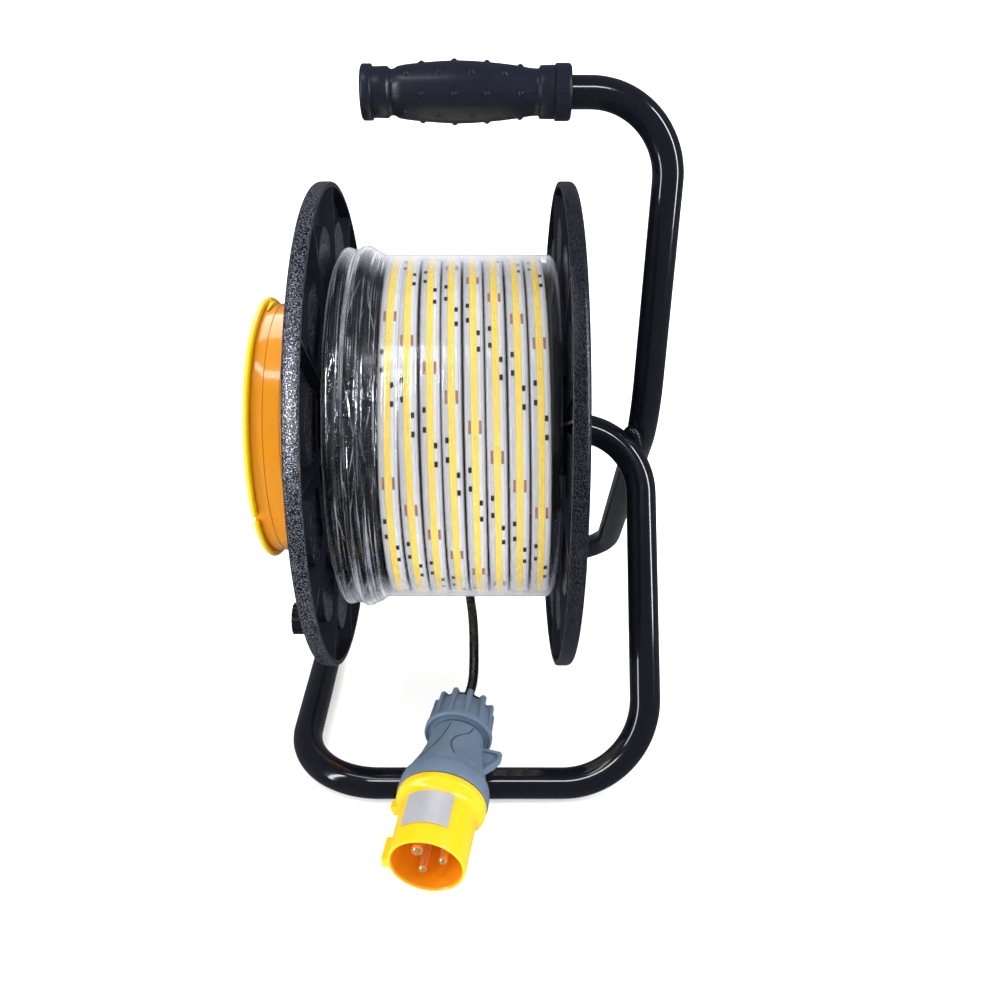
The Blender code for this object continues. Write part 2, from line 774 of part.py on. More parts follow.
def plug_clearance(tilt):
    """Room between the front foot and the plug's underside, with the mouth at its height."""
    rise, run = math.sin(tilt), math.cos(tilt)
    mouth_height = PLUG_LIFT + SHROUD_RADIUS * run
    foot = Vector((PLUG_REACH, TUBE_RADIUS))
    underside = [
        Vector((station * run + radius * rise, mouth_height + station * rise - radius * run))
        for station, radius in body_stations()
    ]
    nearest = min(
        (geometry.intersect_point_line(foot, a, b)[0].to_2d() - foot).length
        for a, b in zip(underside[1:], underside[2:])
    )
    return nearest - TUBE_RADIUS


def plug_tilt():
    """Nose-down angle at which the waist lies on the front foot."""
    low, high = 0.0, math.radians(30)
    for _ in range(30):
        tilt = (low + high) / 2
        if plug_clearance(tilt) < PLUG_SEAT_GAP:
            low = tilt
        else:
            high = tilt
    return high


def plug_frame():
    """Matrix of the plug: origin at the mouth's centre, local Z out of the mouth, local Y upward."""
    tilt = plug_tilt()
    yaw = math.radians(PLUG_YAW_DEG)
    out = Vector((-math.sin(yaw) * math.cos(tilt), -math.cos(yaw) * math.cos(tilt), -math.sin(tilt)))
    right = Vector((math.cos(yaw), -math.sin(yaw), 0.0))
    up = out.cross(right)
    height = PLUG_LIFT + SHROUD_RADIUS * math.cos(tilt)
    mouth = Vector((PLUG_LEFT, -STAND_FRONT - PLUG_REACH * math.cos(yaw), height))
    turn = Matrix((right, up, out)).transposed().to_4x4()
    return Matrix.Translation(mouth) @ turn


def polar(radius, degrees):
    angle = math.radians(degrees)
    return radius * math.cos(angle), radius * math.sin(angle)


def spoke_box(name, degrees, inner, outer, width, low, high, cutters, parent):
    """A block that stands on a round piece: from one radius to another, at an angle."""
    block = box_mesh(name, (inner, -width / 2, low), (outer, width / 2, high))
    return spun_copies(name, block, [math.radians(degrees)], cutters, parent)


def make_shroud(group, cutters, plug):
    inner = SHROUD_RADIUS - SHROUD_WALL
    back = -SHROUD_LENGTH
    ring_front = back + RING_WIDTH
    profile = [
        (inner + 0.0006, 0.0),
        (SHROUD_RADIUS - 0.0006, 0.0),
        (SHROUD_RADIUS, -0.0006),
        (SHROUD_RADIUS + 0.0005, ring_front + 0.0012),
        (RING_RADIUS - 0.0014, ring_front),
        (RING_RADIUS, ring_front - 0.0016),
        (RING_RADIUS, back + 0.0006),
        (RING_RADIUS - 0.0006, back),
        (0.0, back),
    ]
    profile = [(0.0, -SHROUD_DEPTH), (inner, -SHROUD_DEPTH), (inner, -0.0006)] + profile
    shroud = turned("plug_shroud", profile, 36, group, plug, ring=False)
    bite = SHROUD_WALL / 2
    key = spoke_box(
        "shroud_key", KEY_DEG, SHROUD_RADIUS - bite, SHROUD_RADIUS + KEY_HEIGHT, KEY_WIDTH, -KEY_LENGTH, -0.0004,
        cutters, plug,
    )
    combine(shroud, key, "UNION")
    nub = spoke_box(
        "ring_nub", NUB_DEG, RING_RADIUS - 0.003, RING_RADIUS + NUB_HEIGHT, NUB_WIDTH, back + 0.0004, ring_front + 0.001,
        cutters, plug,
    )
    combine(shroud, nub, "UNION")
    return finish_surface(shroud, "plug_yellow")


def make_plug_body(group, cutters, plug):
    stations = body_stations()
    thread_end = NUT_STATION + THREAD_LENGTH
    outer = [(radius, -station) for station, radius in stations]
    profile = [(0.0, outer[0][1])] + outer
    profile += [(THREAD_RADIUS, -NUT_STATION + 0.0010), (THREAD_RADIUS, -thread_end), (0.0, -thread_end)]
    body = turned("plug_body", profile, 36, group, plug, ring=False)
    root = body_radius(EAR_STATION) - 0.004
    tip = root + 0.004 + EAR_REACH
    front = -EAR_STATION + 0.5 * EAR_LENGTH
    back = -EAR_STATION - 0.5 * EAR_LENGTH
    outline = [
        (root, front),
        (tip - 0.0035, front - 0.62 * EAR_LENGTH),
        (tip, front - 0.76 * EAR_LENGTH),
        (tip, front - 0.93 * EAR_LENGTH),
        (tip - 0.0012, back),
        (root, back),
    ]
    ear = outline_prism("plug_ear", outline, -EAR_THICKNESS / 2, EAR_THICKNESS / 2, cutters, plug)
    stand_up = Matrix.Rotation(math.radians(EAR_DEG), 4, "Z") @ Matrix.Rotation(math.radians(90), 4, "X")
    ear.matrix_local = stand_up
    combine(body, ear, "UNION")
    return finish_surface(body, "plug_grey")


def make_nut(group, cutters, plug):
    front = -NUT_STATION
    back = front - NUT_LENGTH
    thread = THREAD_RADIUS + GAP
    thread_end = front - THREAD_LENGTH - GAP
    bore = CORD_RADIUS + GAP
    profile = [
        (thread, front),
        (NUT_RADIUS - 0.0008, front),
        (NUT_RADIUS, front - 0.0008),
        (NUT_RADIUS, front - 0.0032),
        (NUT_BODY_RADIUS, front - 0.0044),
        (NUT_BACK_RADIUS, back + 0.0016),
        (NUT_BACK_RADIUS - 0.0016, back),
        (bore, back),
        (bore, thread_end),
        (thread, thread_end),
    ]
    nut = turned("gland_nut", profile, 36, group, plug)
    taper = NUT_BACK_RADIUS - 0.002
    rib = box_mesh(
        "nut_rib",
        (taper, -NUT_RIB_WIDTH / 2, back - 0.0012),
        (NUT_BODY_RADIUS + NUT_RIB_HEIGHT, NUT_RIB_WIDTH / 2, front - 0.0026),
    )
    angles = [2 * math.pi * (i + 0.5) / NUT_RIBS for i in range(NUT_RIBS)]
    combine(nut, spun_copies("nut_ribs", rib, angles, cutters, plug), "UNION")
    return finish_surface(nut, "plug_grey")


def make_pins(group, plug):
    for name, degrees in PIN_DEGS.items():
        radius = EARTH_PIN_RADIUS if name == "pin_earth" else LIVE_PIN_RADIUS
        tip = -PIN_RECESS
        profile = [
            (0.0, tip),
            (0.62 * radius, tip - 0.3 * radius),
            (radius, tip - radius),
            (radius, -SHROUD_DEPTH + GAP),
            (0.0, -SHROUD_DEPTH + GAP),
        ]
        pin = turned(name, profile, 16, group, plug, ring=False)
        x, y = polar(PIN_CIRCLE, degrees)
        pin.location = (x, y, 0.0)
        finish_surface(pin, "pin_brass")


def make_label(group, plug):
    """A bare rating plate that follows the shroud's curve."""
    inner = SHROUD_RADIUS + 0.0005 + GAP
    outer = inner + LABEL_THICKNESS
    half = math.radians(LABEL_SWEEP_DEG) / 2
    middle = math.radians(LABEL_DEG)
    steps = 12
    angles = [middle - half + 2 * half * i / steps for i in range(steps + 1)]
    outline = [(outer * math.cos(a), outer * math.sin(a)) for a in angles]
    outline += [(inner * math.cos(a), inner * math.sin(a)) for a in reversed(angles)]
    high = -LABEL_STATION
    label = outline_prism("plug_label", outline, high - LABEL_LENGTH, high, group, plug)
    return finish_surface(label, "label_silver")


def smooth_route(knots, spacing):
    """Points at an even spacing along a Catmull-Rom curve through the knots."""
    dense = []
    padded = [2 * knots[0] - knots[1]] + list(knots) + [2 * knots[-1] - knots[-2]]
    for index in range(1, len(padded) - 2):
        before, here, there, after = padded[index - 1:index + 3]
        for step in range(24):
            t = step / 24
            dense.append(0.5 * (
                2 * here
                + (there - before) * t
                + (2 * before - 5 * here + 4 * there - after) * t * t
                + (3 * here - before - 3 * there + after) * t * t * t
            ))
    dense.append(knots[-1])
    length = sum((b - a).length for a, b in zip(dense, dense[1:]))
    count = max(2, round(length / spacing))
    points = [dense[0]]
    walked = 0.0
    wanted = length / count
    for a, b in zip(dense, dense[1:]):
        piece = (b - a).length
        while walked + piece >= wanted * len(points) and len(points) < count:
            points.append(a.lerp(b, (wanted * len(points) - walked) / piece))
        walked += piece
    points.append(dense[-1])
    return points


def under_winding(along, drop, degrees):
    """A point of the lead below the film: how far it hangs clear, and its angle back from straight down."""
    radius = STRIP_RADIUS + GAP + FILM_THICKNESS + GAP + CORD_RADIUS + drop
    angle = math.radians(degrees)
    return Vector((along, radius * math.sin(angle), -radius * math.cos(angle)))


def cord_knots():
    """The lead's route from the gland to the underside of the winding."""
    frame = plug_frame()
    thread_end = NUT_STATION + THREAD_LENGTH + 2 * GAP
    back = NUT_STATION + NUT_LENGTH
    inside = frame @ Vector((0.0, 0.0, -thread_end))
    leaving = frame @ Vector((0.0, 0.0, -back))
    free = frame @ Vector((0.0, 0.0, -back - 0.008))
    axle = Vector((0.0, 0.0, AXLE_HEIGHT))
    return [
        inside,
        leaving,
        free,
        axle + under_winding(-0.0104, 0.0532, -26.3),
        axle + under_winding(-0.0098, 0.0338, -22.8),
        axle + under_winding(-0.0106, 0.0165, -17.2),
        axle + under_winding(-0.0130, 0.0042, -9.0),
        axle + under_winding(-0.0142, 0.0010, -3.5),
        axle + under_winding(-0.0148, 0.0, 2.5),
    ]


def make_cord(group, parent):
    points = smooth_route(cord_knots(), CORD_STEP)
    cord = tube("supply_cord", points, CORD_RADIUS, CORD_RESOLUTION, group, parent)
    return finish_surface(cord, "cable_black", 50.0)


def middle_of_reel():
    """Middle of the reel's floor plan, from the widths of its widest pieces."""
    points = stand_route()
    left = FLANGE_LEFT_FACE - GAP - COVER_HEIGHT
    low_x = min(left, min(p.x for p in points) - TUBE_RADIUS)
    high_x = max(p.x for p in points) + TUBE_RADIUS
    low_y = min(-FLANGE_RADIUS, min(p.y for p in points) - TUBE_RADIUS)
    high_y = max(FLANGE_RADIUS, max(p.y for p in points) + TUBE_RADIUS)
    return Vector(((low_x + high_x) / 2, (low_y + high_y) / 2, 0.0))


def main():
    clear_scene()
    group = new_collection("led_strip_reel")
    cutters = new_collection("cutters")
    reel = empty("reel_origin", group, None, location=-middle_of_reel())
    axle = empty("drum_axis", group, reel, location=(0.0, 0.0, AXLE_HEIGHT))
    y, z = knob_place()
    knob_axis = empty("knob_axis", group, axle, location=(FLANGE_LEFT_FACE - END_PLAY, y, z))
    plug = empty("plug_axis", group, reel)
    plug.matrix_local = plug_frame()

    make_stand(group, cutters, reel)
    make_grip(group, reel)
    make_axle_cap(group, reel)
    make_flange("flange_left", DRUM_LEFT, -1, group, cutters, axle, 8.0)
    make_flange("flange_right", DRUM_RIGHT, 1, group, cutters, axle, 8.0)
    make_barrel(group, axle)
    make_winding(group, axle)
    make_cover(group, cutters, axle)
    make_knob(group, cutters, knob_axis)
    make_shroud(group, cutters, plug)
    make_plug_body(group, cutters, plug)
    make_nut(group, cutters, plug)
    make_pins(group, plug)
    make_label(group, plug)
    make_cord(group, reel)


main()
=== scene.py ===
"""Looks of the LED strip light on its reel, in metres and in the row's frame."""
import json
import math
import random
from math import cos, pi, radians, sin, tau

import bpy
import bmesh
from mathutils import Matrix, Vector, noise

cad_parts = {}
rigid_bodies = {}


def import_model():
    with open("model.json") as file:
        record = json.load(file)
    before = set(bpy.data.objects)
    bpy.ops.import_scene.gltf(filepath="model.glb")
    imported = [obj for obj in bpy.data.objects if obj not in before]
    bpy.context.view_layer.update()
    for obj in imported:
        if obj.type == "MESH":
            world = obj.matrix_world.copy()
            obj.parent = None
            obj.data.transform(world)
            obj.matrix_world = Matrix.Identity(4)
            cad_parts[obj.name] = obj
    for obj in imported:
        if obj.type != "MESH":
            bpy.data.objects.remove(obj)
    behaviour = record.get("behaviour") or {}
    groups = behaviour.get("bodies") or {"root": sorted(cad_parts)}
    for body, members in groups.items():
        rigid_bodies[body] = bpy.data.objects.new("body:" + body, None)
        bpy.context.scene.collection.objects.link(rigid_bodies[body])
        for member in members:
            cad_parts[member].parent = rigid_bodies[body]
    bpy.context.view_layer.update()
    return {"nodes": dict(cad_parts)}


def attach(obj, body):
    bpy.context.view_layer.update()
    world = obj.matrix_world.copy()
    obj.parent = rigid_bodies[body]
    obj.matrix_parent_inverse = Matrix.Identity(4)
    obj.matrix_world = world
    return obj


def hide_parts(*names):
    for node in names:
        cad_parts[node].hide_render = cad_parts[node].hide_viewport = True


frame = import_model()

# Camera, at the photograph's viewing angle
CAMERA_PLACE = (0.01196, -0.65721, 0.451)
CAMERA_PITCH_DEG = 25.0
CAMERA_LENS = 35.784
CAMERA_SHIFT = 0.0118

# Axle and reel
GAP = 0.0003
REEL = Vector((0.011961, -0.022, 0.0))
AXLE_HEIGHT = 0.2092
REEL_MIDDLE = (0.0, 0.0, 0.2)
DRUM_LEFT = -0.099
DRUM_RIGHT = 0.0445
BARREL_RADIUS = 0.064
FLANGE_RADIUS = 0.16
FLANGE_WIDTH = 0.0098
RIM_ROUNDING = 0.0034
SKIN = 0.00012
PAD_INNER = 0.1
PAD_OUTER = 0.1385
PAD_ARCH = 0.28
PAD_MARGIN = 0.0012
SIDES = (("left", DRUM_LEFT, -1), ("right", DRUM_RIGHT, 1))

# Cover on the left drum end; its raised rim has two gaps
COVER_HEIGHT = 0.0375
COVER_WALL = 0.0832
COVER_RIM = 0.0875
TOP_GAP_DEG = -97.0
LOW_GAP_DEG = 20.8

# Stand tube
TUBE_RADIUS = 0.01
STAND_LEFT = -0.1258
STAND_FRONT = -0.126
STAND_BACK = 0.194
FORK_X = 0.1033
FORK_BEND = 0.045
LOOP_BEND = 0.055
UPRIGHT_BEND = 0.06
HANDLE_BEND = 0.05
HANDLE_X = 0.1153
HANDLE_Y = 0.023
HANDLE_HEIGHT = 0.42
JUNCTION = Vector((0.105, -0.00818, 0.2162))
GRIP_LEFT = -0.0776
GRIP_LENGTH = 0.1282

# Winding
STRIP_TURNS = 8
STRIP_PITCH = 0.01267
STRIP_LEFT = -0.064
STRIP_RIGHT = STRIP_LEFT + STRIP_TURNS * STRIP_PITCH
STRIP_TOP = 0.1139
STRIP_HALF = 0.006
STRIP_THICK = 0.0056
MARK_RADIUS = 0.1125
MARK_PERIOD = 0.1003
MARK_START = 0.0437
MARK_SLIP = 0.02176
CABLE_LEFT = -0.0955
CABLE_RADIUS = 0.0031
FILM_OVER_STRIP = 0.1146
FILM_LIMIT = 0.1205

# Plug
PLUG_MOUTH = Vector((-0.022939, -0.239778, 0.02972))
PLUG_TILT_DEG = 9.05374
PLUG_YAW_DEG = 9.3
PIN_CIRCLE = 0.009
PIN_RECESS = 0.0025
PIN_ENDS = ((129.0, 0.0035), (248.0, 0.0025), (8.0, 0.0025))
SHROUD_RADIUS = 0.0225
SHROUD_WALL = 0.0022
SHROUD_DEPTH = 0.038
SHROUD_LENGTH = 0.045
RING_RADIUS = 0.0272
COLLAR_RADIUS = 0.0278
NUT_STATION = 0.0965
NUT_LENGTH = 0.0225
NUT_RADIUS = 0.0219

# Lead from the gland to the underside of the winding
CORD_RADIUS = 0.00325
CORD_POINTS = (
    (-0.00505, -0.13053, 0.04736), (-0.00387, -0.12334, 0.04851), (-0.00271, -0.11617, 0.04966),
    (-0.00094, -0.10920, 0.05128), (0.00077, -0.10232, 0.05329), (0.00182, -0.09582, 0.05654),
    (0.00216, -0.09007, 0.06113), (0.00219, -0.08453, 0.06599), (0.00214, -0.07859, 0.07035),
    (0.00198, -0.07242, 0.07438), (0.00165, -0.06607, 0.07810), (0.00113, -0.05948, 0.08136),
    (0.00037, -0.05269, 0.08412), (-0.00049, -0.04578, 0.08653), (-0.00131, -0.03876, 0.08862),
    (-0.00206, -0.03151, 0.08966), (-0.00253, -0.02418, 0.09031), (-0.00284, -0.01683, 0.09076),
)

# Local X to the front, local Y down, local Z along the axle to the right
AXLE_TURN = Matrix(((0, 0, 1, 0), (-1, 0, 0, 0), (0, -1, 0, 0), (0, 0, 0, 1)))
DRUM_PLACE = Matrix.Translation(REEL + Vector((0.0, 0.0, AXLE_HEIGHT))) @ AXLE_TURN


# Materials

class Look:
    """A procedural material built round one Principled shader."""

    def __init__(self, name, color=(0.5, 0.5, 0.5), roughness=0.4, metallic=0.0, **sockets):
        self.material = bpy.data.materials.new(name)
        self.material.use_nodes = True
        self.tree = self.material.node_tree
        self.shader = self.tree.nodes["Principled BSDF"]
        self.coords = self.tree.nodes.new("ShaderNodeTexCoord")
        self.base(color)
        self.shader.inputs["Roughness"].default_value = roughness
        self.shader.inputs["Metallic"].default_value = metallic
        for socket, value in sockets.items():
            self.shader.inputs[socket.replace("_", " ")].default_value = value

    def set(self, socket, value):
        if isinstance(value, bpy.types.NodeSocket):
            self.tree.links.new(value, socket)
        elif isinstance(value, (tuple, list)) and len(value) == 3 and socket.type == "RGBA":
            socket.default_value = (*value, 1.0)
        else:
            socket.default_value = value

    def node(self, kind, values=None, **settings):
        made = self.tree.nodes.new("ShaderNode" + kind)
        for key, value in settings.items():
            setattr(made, key, value)
        for key, value in (values or {}).items():
            self.set(made.inputs[key], value)
        return made

    def place(self, stretch=(1.0, 1.0, 1.0), source=None):
        return self.node(
            "Mapping", {"Vector": source or self.coords.outputs["Object"], "Scale": stretch}
        ).outputs["Vector"]

    def noise(self, scale, detail=3.0, stretch=(1.0, 1.0, 1.0), source=None, roughness=0.55):
        values = {"Vector": self.place(stretch, source), "Scale": scale, "Detail": detail}
        return self.node("TexNoise", values | {"Roughness": roughness}).outputs["Fac"]

    def cells(self, scale, stretch, source):
        values = {"Vector": self.place(stretch, source), "Scale": scale}
        return self.node("TexVoronoi", values).outputs["Distance"]

    def math(self, operation, a, b=0.0, clamp=False):
        return self.node("Math", {0: a, 1: b}, operation=operation, use_clamp=clamp).outputs[0]

    def times(self, a, b):
        return self.math("MULTIPLY", a, b)

    def span(self, value, low, high, start=0.0, end=1.0):
        """The value mapped from low..high to start..end and held there."""
        values = {"Value": value, "From Min": low, "From Max": high, "To Min": start, "To Max": end}
        return self.node("MapRange", values).outputs["Result"]

    def blend(self, factor, first, second):
        made = self.node("Mix", data_type="RGBA", blend_type="MIX")
        self.set(made.inputs["Factor"], factor)
        self.set(made.inputs[6], first)
        self.set(made.inputs[7], second)
        return made.outputs[2]

    def split(self, vector):
        return self.node("SeparateXYZ", {"Vector": vector}).outputs

    def base(self, color):
        self.set(self.shader.inputs["Base Color"], color)

    def rough(self, value, low, high):
        self.set(self.shader.inputs["Roughness"], self.span(value, 0.25, 0.75, low, high))

    def bump(self, *layers):
        """Each layer is (height, strength, distance)."""
        normal = None
        for height, strength, distance in layers:
            made = self.node("Bump", {"Height": height, "Strength": strength, "Distance": distance})
            if normal:
                self.set(made.inputs["Normal"], normal)
            normal = made.outputs["Normal"]
        self.set(self.shader.inputs["Normal"], normal)


def mottled(name, dark, light, mottle, gloss=None, bumps=(), **sockets):
    """A plain look between two tones. A noise is (scale, detail, stretch); gloss is (noise, low, high)."""
    look = Look(name, **sockets)
    tone = look.noise(*mottle)
    look.base(look.blend(tone, dark, light))
    if gloss:
        cloud, low, high = gloss
        look.rough(look.noise(*cloud) if cloud else tone, low, high)
    if bumps:
        look.bump(*[(look.noise(*cloud), strength, distance) for cloud, strength, distance in bumps])
    return look.material


def steel_look():
    return mottled(
        "steel_black_coat", (0.0026, 0.003, 0.005), (0.0048, 0.0054, 0.009), (26.0, 4.0),
        ((90.0, 3.0), 0.1, 0.18), (((420.0, 2.0), 0.03, 0.0005), ((34.0, 1.0), 0.08, 0.0024)),
        roughness=0.14, Specular_IOR_Level=0.35, Coat_Weight=0.5, Coat_Roughness=0.03,
    )


def grip_look():
    scratch = (320.0, 2.0, (1.0, 1.0, 0.15))
    return mottled(
        "grip_moulded", (0.004, 0.0056, 0.0125), (0.0075, 0.01, 0.02), (60.0, 4.0),
        ((140.0, 4.0), 0.3, 0.46), (((900.0, 2.0), 0.1, 0.0003), (scratch, 0.06, 0.0004)),
        roughness=0.32, Specular_IOR_Level=0.4, Coat_Weight=0.2, Coat_Roughness=0.2,
    )


def drum_look():
    return mottled(
        "drum_plastic_smooth", (0.0026, 0.003, 0.0046), (0.006, 0.0066, 0.0095), (40.0, 4.0),
        ((70.0, 4.0), 0.24, 0.42), (((500.0, 3.0), 0.08, 0.0004),), roughness=0.3, Specular_IOR_Level=0.3,
    )


# Painted highlight: near-white bevels on the black drum ends, for light lines along their edges.
def edge_highlight_look():
    return mottled(
        "drum_painted_edge_highlight", (0.7, 0.71, 0.74), (0.92, 0.93, 0.95), (30.0, 4.0), None,
        (((500.0, 2.0), 0.1, 0.0003),), roughness=0.34,
    )


def grain_look(name, fleck):
    look = Look(name, roughness=0.3)
    grain = look.noise(1150.0, 2.0, roughness=0.6)
    sparkle = look.span(grain, 0.53, 0.61)
    look.base(look.blend(sparkle, (0.003, 0.0036, 0.0058), fleck))
    look.set(look.shader.inputs["Metallic"], look.span(sparkle, 0.0, 1.0, 0.0, 0.85))
    look.rough(look.noise(60.0, 3.0), 0.2, 0.28)
    look.bump((grain, 0.5, 0.0005))
    return look.material


def strip_look():
    """The encased strip: across and along are read from its UV map, in centimetres."""
    look = Look("led_strip_encased", roughness=0.24, Coat_Weight=0.7, Coat_Roughness=0.1)
    run = look.node("UVMap", uv_map="run").outputs["UV"]
    across, along, _ = look.split(run)
    side = look.math("ABSOLUTE", across)
    shade = look.noise(7.0, 3.0, (1.0, 0.12, 1.0), source=run)
    white = look.blend(shade, (0.6, 0.6, 0.63), (0.74, 0.74, 0.76))
    # Painted shade: the strip's white is drawn darker on the side of each turn where across is negative.
    painted_shade_white = look.blend(shade, (0.44, 0.44, 0.46), (0.58, 0.58, 0.59))
    white = look.blend(look.span(across, 0.05, -0.1), white, painted_shade_white)
    trace = look.times(look.span(side, 0.375, 0.39), look.span(side, 0.45, 0.435))
    white = look.blend(look.times(trace, 0.75), white, (0.46, 0.47, 0.55))
    # Painted shade: the white darkens almost to black at the strip's rounded edges, down into the gaps
    # between turns.
    edge = look.span(side, 0.47, 0.58)
    white = look.blend(look.times(edge, 0.85), white, (0.2, 0.19, 0.185))
    specks = look.cells(3.9, (0.0, 1.0, 0.0), source=run)
    centre = look.span(side, 0.07, 0.03)
    speck = look.times(look.span(specks, 0.22, 0.1), centre)
    tone = look.noise(3.0, 2.0, (1.0, 0.3, 1.0), source=run)
    yellow = look.blend(tone, (0.84, 0.58, 0.055), (0.94, 0.71, 0.12))
    yellow = look.blend(look.times(speck, 0.8), yellow, (0.62, 0.38, 0.02))
    line = look.span(side, 0.187, 0.176)
    color = look.blend(line, white, yellow)
    rim = look.times(look.span(side, 0.176, 0.186), look.span(side, 0.205, 0.192))
    color = look.blend(look.times(rim, 0.45), color, (0.4, 0.22, 0.1))
    phase = look.math("PINGPONG", look.math("SUBTRACT", along, 100 * MARK_START), 50 * MARK_PERIOD)
    pad_side = look.math("ABSOLUTE", look.math("SUBTRACT", side, 0.305))
    outline = look.times(look.span(phase, 0.4, 0.37), look.span(pad_side, 0.085, 0.075))
    pad = look.times(look.span(phase, 0.33, 0.3), look.span(pad_side, 0.06, 0.05))
    color = look.blend(look.times(outline, 0.8), color, (0.22, 0.12, 0.1))
    color = look.blend(pad, color, look.blend(shade, (0.24, 0.085, 0.055), (0.48, 0.23, 0.16)))
    look.base(color)
    look.rough(shade, 0.18, 0.34)
    groove = look.math("ADD", look.times(line, 0.6), look.times(trace, 0.5))
    look.bump((groove, 0.4, 0.0004), (look.noise(30.0, 2.0, source=run), 0.1, 0.0004))
    return look.material


def core_look():
    look = Look("winding_below", roughness=0.5)
    turns = look.node("TexWave", {"Vector": look.place((0.0, 0.0, 1.0)), "Scale": 40.0, "Distortion": 2.0})
    look.base(look.blend(turns.outputs["Fac"], (0.035, 0.027, 0.022), (0.16, 0.13, 0.1)))
    look.bump((look.noise(200.0, 3.0), 0.2, 0.0006))
    return look.material


def film_look():
    """Clear film: mostly see-through, with painted sheen where it is seen edge-on and painted highlight
    streaks along its folds.
    """
    look = Look("stretch_film_clear", (0.9, 0.93, 1.0), roughness=0.1, metallic=0.75)
    run = look.node("UVMap", uv_map="run").outputs["UV"]
    along, around, _ = look.split(run)

    def threads(scale, slant, length, depth, seed):
        """Noise drawn out round the coil; slant leans it along the axle."""
        shifted = look.math("ADD", along, look.times(around, slant))
        values = {"X": shifted, "Y": look.times(around, length), "Z": seed}
        return look.noise(scale, depth, source=look.node("CombineXYZ", values).outputs[0])

    folds = threads(4.6, 0.01, 0.012, 2.0, 0.0)
    fine = threads(10.0, -0.012, 0.01, 2.0, 3.0)
    creases = threads(4.8, 0.17, 0.045, 3.0, 6.0)
    pulls = threads(4.6, -0.2, 0.05, 3.0, 9.0)
    patch = look.noise(0.55, 2.0, (1.6, 0.45, 1.0), source=run)
    over_cable = look.span(along, -6.1, -6.7)
    facing = look.node("LayerWeight", {"Blend": 0.5}).outputs["Facing"]
    # Painted sheen: where the film is seen edge-on it turns opaque and pale in place of its reflection; a
    # faint film tint is added.
    film_tint_and_painted_sheen = look.span(facing, 0.5, 0.9, 0.0, 0.76)
    film_tint_and_painted_sheen = look.math("ADD", film_tint_and_painted_sheen, look.span(over_cable, 0.0, 1.0, 0.014, 0.016))
    look.set(look.shader.inputs["Metallic"], look.span(facing, 0.5, 0.85, 0.8, 0.0))
    # Painted highlights: pale streaks along the folds and creases, strongest over the cable.
    long_lines = look.math("MAXIMUM", look.span(folds, 0.57, 0.62), look.span(fine, 0.57, 0.63))
    cross_lines = look.math("MAXIMUM", look.span(creases, 0.65, 0.69), look.span(pulls, 0.66, 0.7))
    lines = look.math("MAXIMUM", long_lines, look.times(cross_lines, 0.8))
    strength = look.span(patch, 0.36, 0.62, 0.05, 1.0)
    share = look.times(strength, look.span(over_cable, 0.0, 1.0, 0.05, 1.0))
    alpha = look.math("ADD", film_tint_and_painted_sheen, look.times(lines, share))
    edge = look.math("ADD", around, look.times(patch, 0.9))
    lap = look.times(look.span(edge, -2.2, -2.28), 0.02)
    look.set(look.shader.inputs["Alpha"], look.math("ADD", alpha, lap, clamp=True))
    rough_zone = look.span(over_cable, 0.0, 1.0, 0.12, 1.0)
    look.bump(
        (look.times(folds, rough_zone), 0.6, 0.0018),
        (look.times(creases, rough_zone), 0.2, 0.001),
    )
    return look.material


def cable_look():
    return mottled(
        "cable_sheath_black", (0.0024, 0.0028, 0.0046), (0.0055, 0.0062, 0.0092), (50.0, 4.0),
        ((160.0, 3.0), 0.2, 0.36), (((420.0, 3.0), 0.1, 0.0005),),
        roughness=0.25, Coat_Weight=0.3, Coat_Roughness=0.12,
    )


def cover_look():
    return mottled(
        "cover_yellow_gloss", (0.7, 0.24, 0.004), (0.81, 0.31, 0.007), (22.0, 3.0, (1.0, 1.0, 3.0)),
        (None, 0.12, 0.22), (((90.0, 2.0), 0.06, 0.001),),
        roughness=0.16, Coat_Weight=0.8, Coat_Roughness=0.05,
    )


def plug_grey_look(name="plug_grey_satin", dark=(0.115, 0.165, 0.235), light=(0.15, 0.21, 0.29)):
    return mottled(
        name, dark, light, (90.0, 4.0), (None, 0.36, 0.48), (((1400.0, 2.0), 0.12, 0.0003),), roughness=0.42,
    )


def plug_yellow_look(name="plug_yellow_satin", dark=(0.95, 0.56, 0.0), light=(1.0, 0.645, 0.001)):
    return mottled(
        name, dark, light, (70.0, 4.0), (None, 0.26, 0.38), (((900.0, 2.0), 0.06, 0.0003),),
        roughness=0.3, Coat_Weight=0.3, Coat_Roughness=0.15,
    )


def brass_look():
    grain = (900.0, 2.0, (1.0, 1.0, 0.1))
    return mottled(
        "pin_brass_polished", (0.92, 0.68, 0.28), (1.0, 0.82, 0.44), (300.0, 3.0, (1.0, 1.0, 0.2)),
        (None, 0.12, 0.2), ((grain, 0.08, 0.0002),), roughness=0.16, metallic=0.8,
    )


def label_look():
    return mottled(
        "label_silver_foil", (0.56, 0.56, 0.6), (0.68, 0.68, 0.72), (120.0, 4.0),
        ((400.0, 2.0), 0.28, 0.42), (((700.0, 2.0), 0.08, 0.0002),), roughness=0.34, metallic=0.35,
    )


def chip_look():
    return mottled("chip_black", (0.004, 0.006, 0.014), (0.016, 0.02, 0.036), (700.0,), roughness=0.3)


def tin_look():
    return mottled(
        "chip_ends_tinned", (0.52, 0.53, 0.56), (0.8, 0.8, 0.82), (900.0,), roughness=0.25, metallic=0.6,
    )


# Mesh helpers

def put_in_scene(name, data):
    thing = bpy.data.objects.new(name, data)
    bpy.context.scene.collection.objects.link(thing)
    return thing


